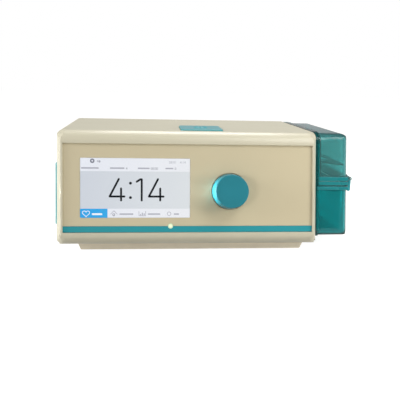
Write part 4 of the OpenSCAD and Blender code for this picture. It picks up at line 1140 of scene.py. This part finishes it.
CHAMBER_FACE = -17.61
RIM_FACE = CHAMBER_FACE + 1.5
STRIP_PROUD = 0.35
STRIP_SUNK = 0.8
TUB_U = 230.6
LID_U = 231.7
RIM_END = 260.2
front_strips = [
    ("tub_bead", "chamber", "tub_teal", bead_teal_painted_highlight, TUB_U, 232.7, 19.6, 57.4, CHAMBER_FACE),
    ("lid_bead", "lid", "lid_teal", bead_teal_painted_highlight, LID_U, 232.9, 70.6, 100.6, CHAMBER_FACE),
    ("tub_rim_front", "chamber", "tub_teal", rim_teal, TUB_U, RIM_END, 57.7, 60.8, RIM_FACE),
    ("lid_rim_front", "lid", "lid_teal", rim_teal, LID_U, RIM_END, 62.0, 65.5, RIM_FACE),
    ("lid_rim_upper", "lid", "lid_teal", rim_teal, LID_U, RIM_END, 66.0, 69.8, RIM_FACE),
]
for name, body, slot, material, low_u, high_u, low_v, high_v, face in front_strips:
    strip = slab(name, (low_u, low_v, face - STRIP_SUNK), (high_u, high_v, face + STRIP_PROUD))
    soften(strip, 0.45, 4)
    smooth(lay(strip, FASCIA), 50)
    place(strip, body, material, slot)

# %% [markdown]
# The rest keep their solids and get the finish that each piece has: foams, boards, metal plates,
# rubber mounts and the moulded ducts inside the case, seen when the chamber or a cover is off.
# %% Finishes of the remaining solids
pin_teal = plastic("pin teal", (0.02, 0.24, 0.28), rough=0.4)
board_green = plastic("board green", (0.03, 0.14, 0.075), rough=0.35, coat=0.3)
finishes = [
    (foot_rubber, "rubber_feet"),
    (grey_rubber, "blower_mounts pressure_duct dock_seal"),
    (steel, "case_screws encoder_body encoder_shaft motor_shaft latch_pin"),
    (aluminium, "blower_motor heater_plate tub_heat_plate"),
    (board_green, "control_board button_board power_board"),
    (black_part, "encoder_plunger button_switch flow_sensor power_inlet heater_carrier"),
    (inner_grey, "inlet_muffler blower_base blower_cover"),
    (filter_foam_finish, "filter_foam muffler_foam"),
    (teal_cover, "filter_cover"),
    (impeller_white, "impeller"),
    (cream_painted_lighter, "dock_plate"),
    (pin_teal, "hinge_pin"),
    (silicone, "lid_seal"),
    (clear_baffle, "chamber_baffle"),
    (cone_white, "outlet_cone"),
]
for material, names in finishes:
    for node in names.split():
        mesh = nodes[node].data
        mesh.materials.clear()
        mesh.materials.append(material)
print("finishes:", len(finishes))

# %% [markdown]
# The floor is a matt sheet that takes the shadows. To the camera, and in reflections and clear
# plastic, it also gives off light of its own, so that it fades into the white background. The
# lamps can then stay at a plain level.
# %% Floor finish
FLOOR_GLOW = 0.88

floor_white, floor_tree, floor_shader = principled("floor white")
tune(floor_shader, Base_Color=(0.39, 0.38, 0.355, 1), Roughness=0.9, Specular_IOR_Level=0.1,
     Emission_Color=WHITE)
wire(floor_tree, sums(floor_tree, "MULTIPLY", background_rays(floor_tree), FLOOR_GLOW),
     floor_shader.inputs["Emission Strength"])
floor.data.materials.append(floor_white)

bpy.context.scene.view_settings.view_transform = "Standard"
print("floor glow:", FLOOR_GLOW)

for thing in bpy.data.objects:
    if thing.type == "MESH" and not thing.data.materials:
        print("no material:", thing.name)
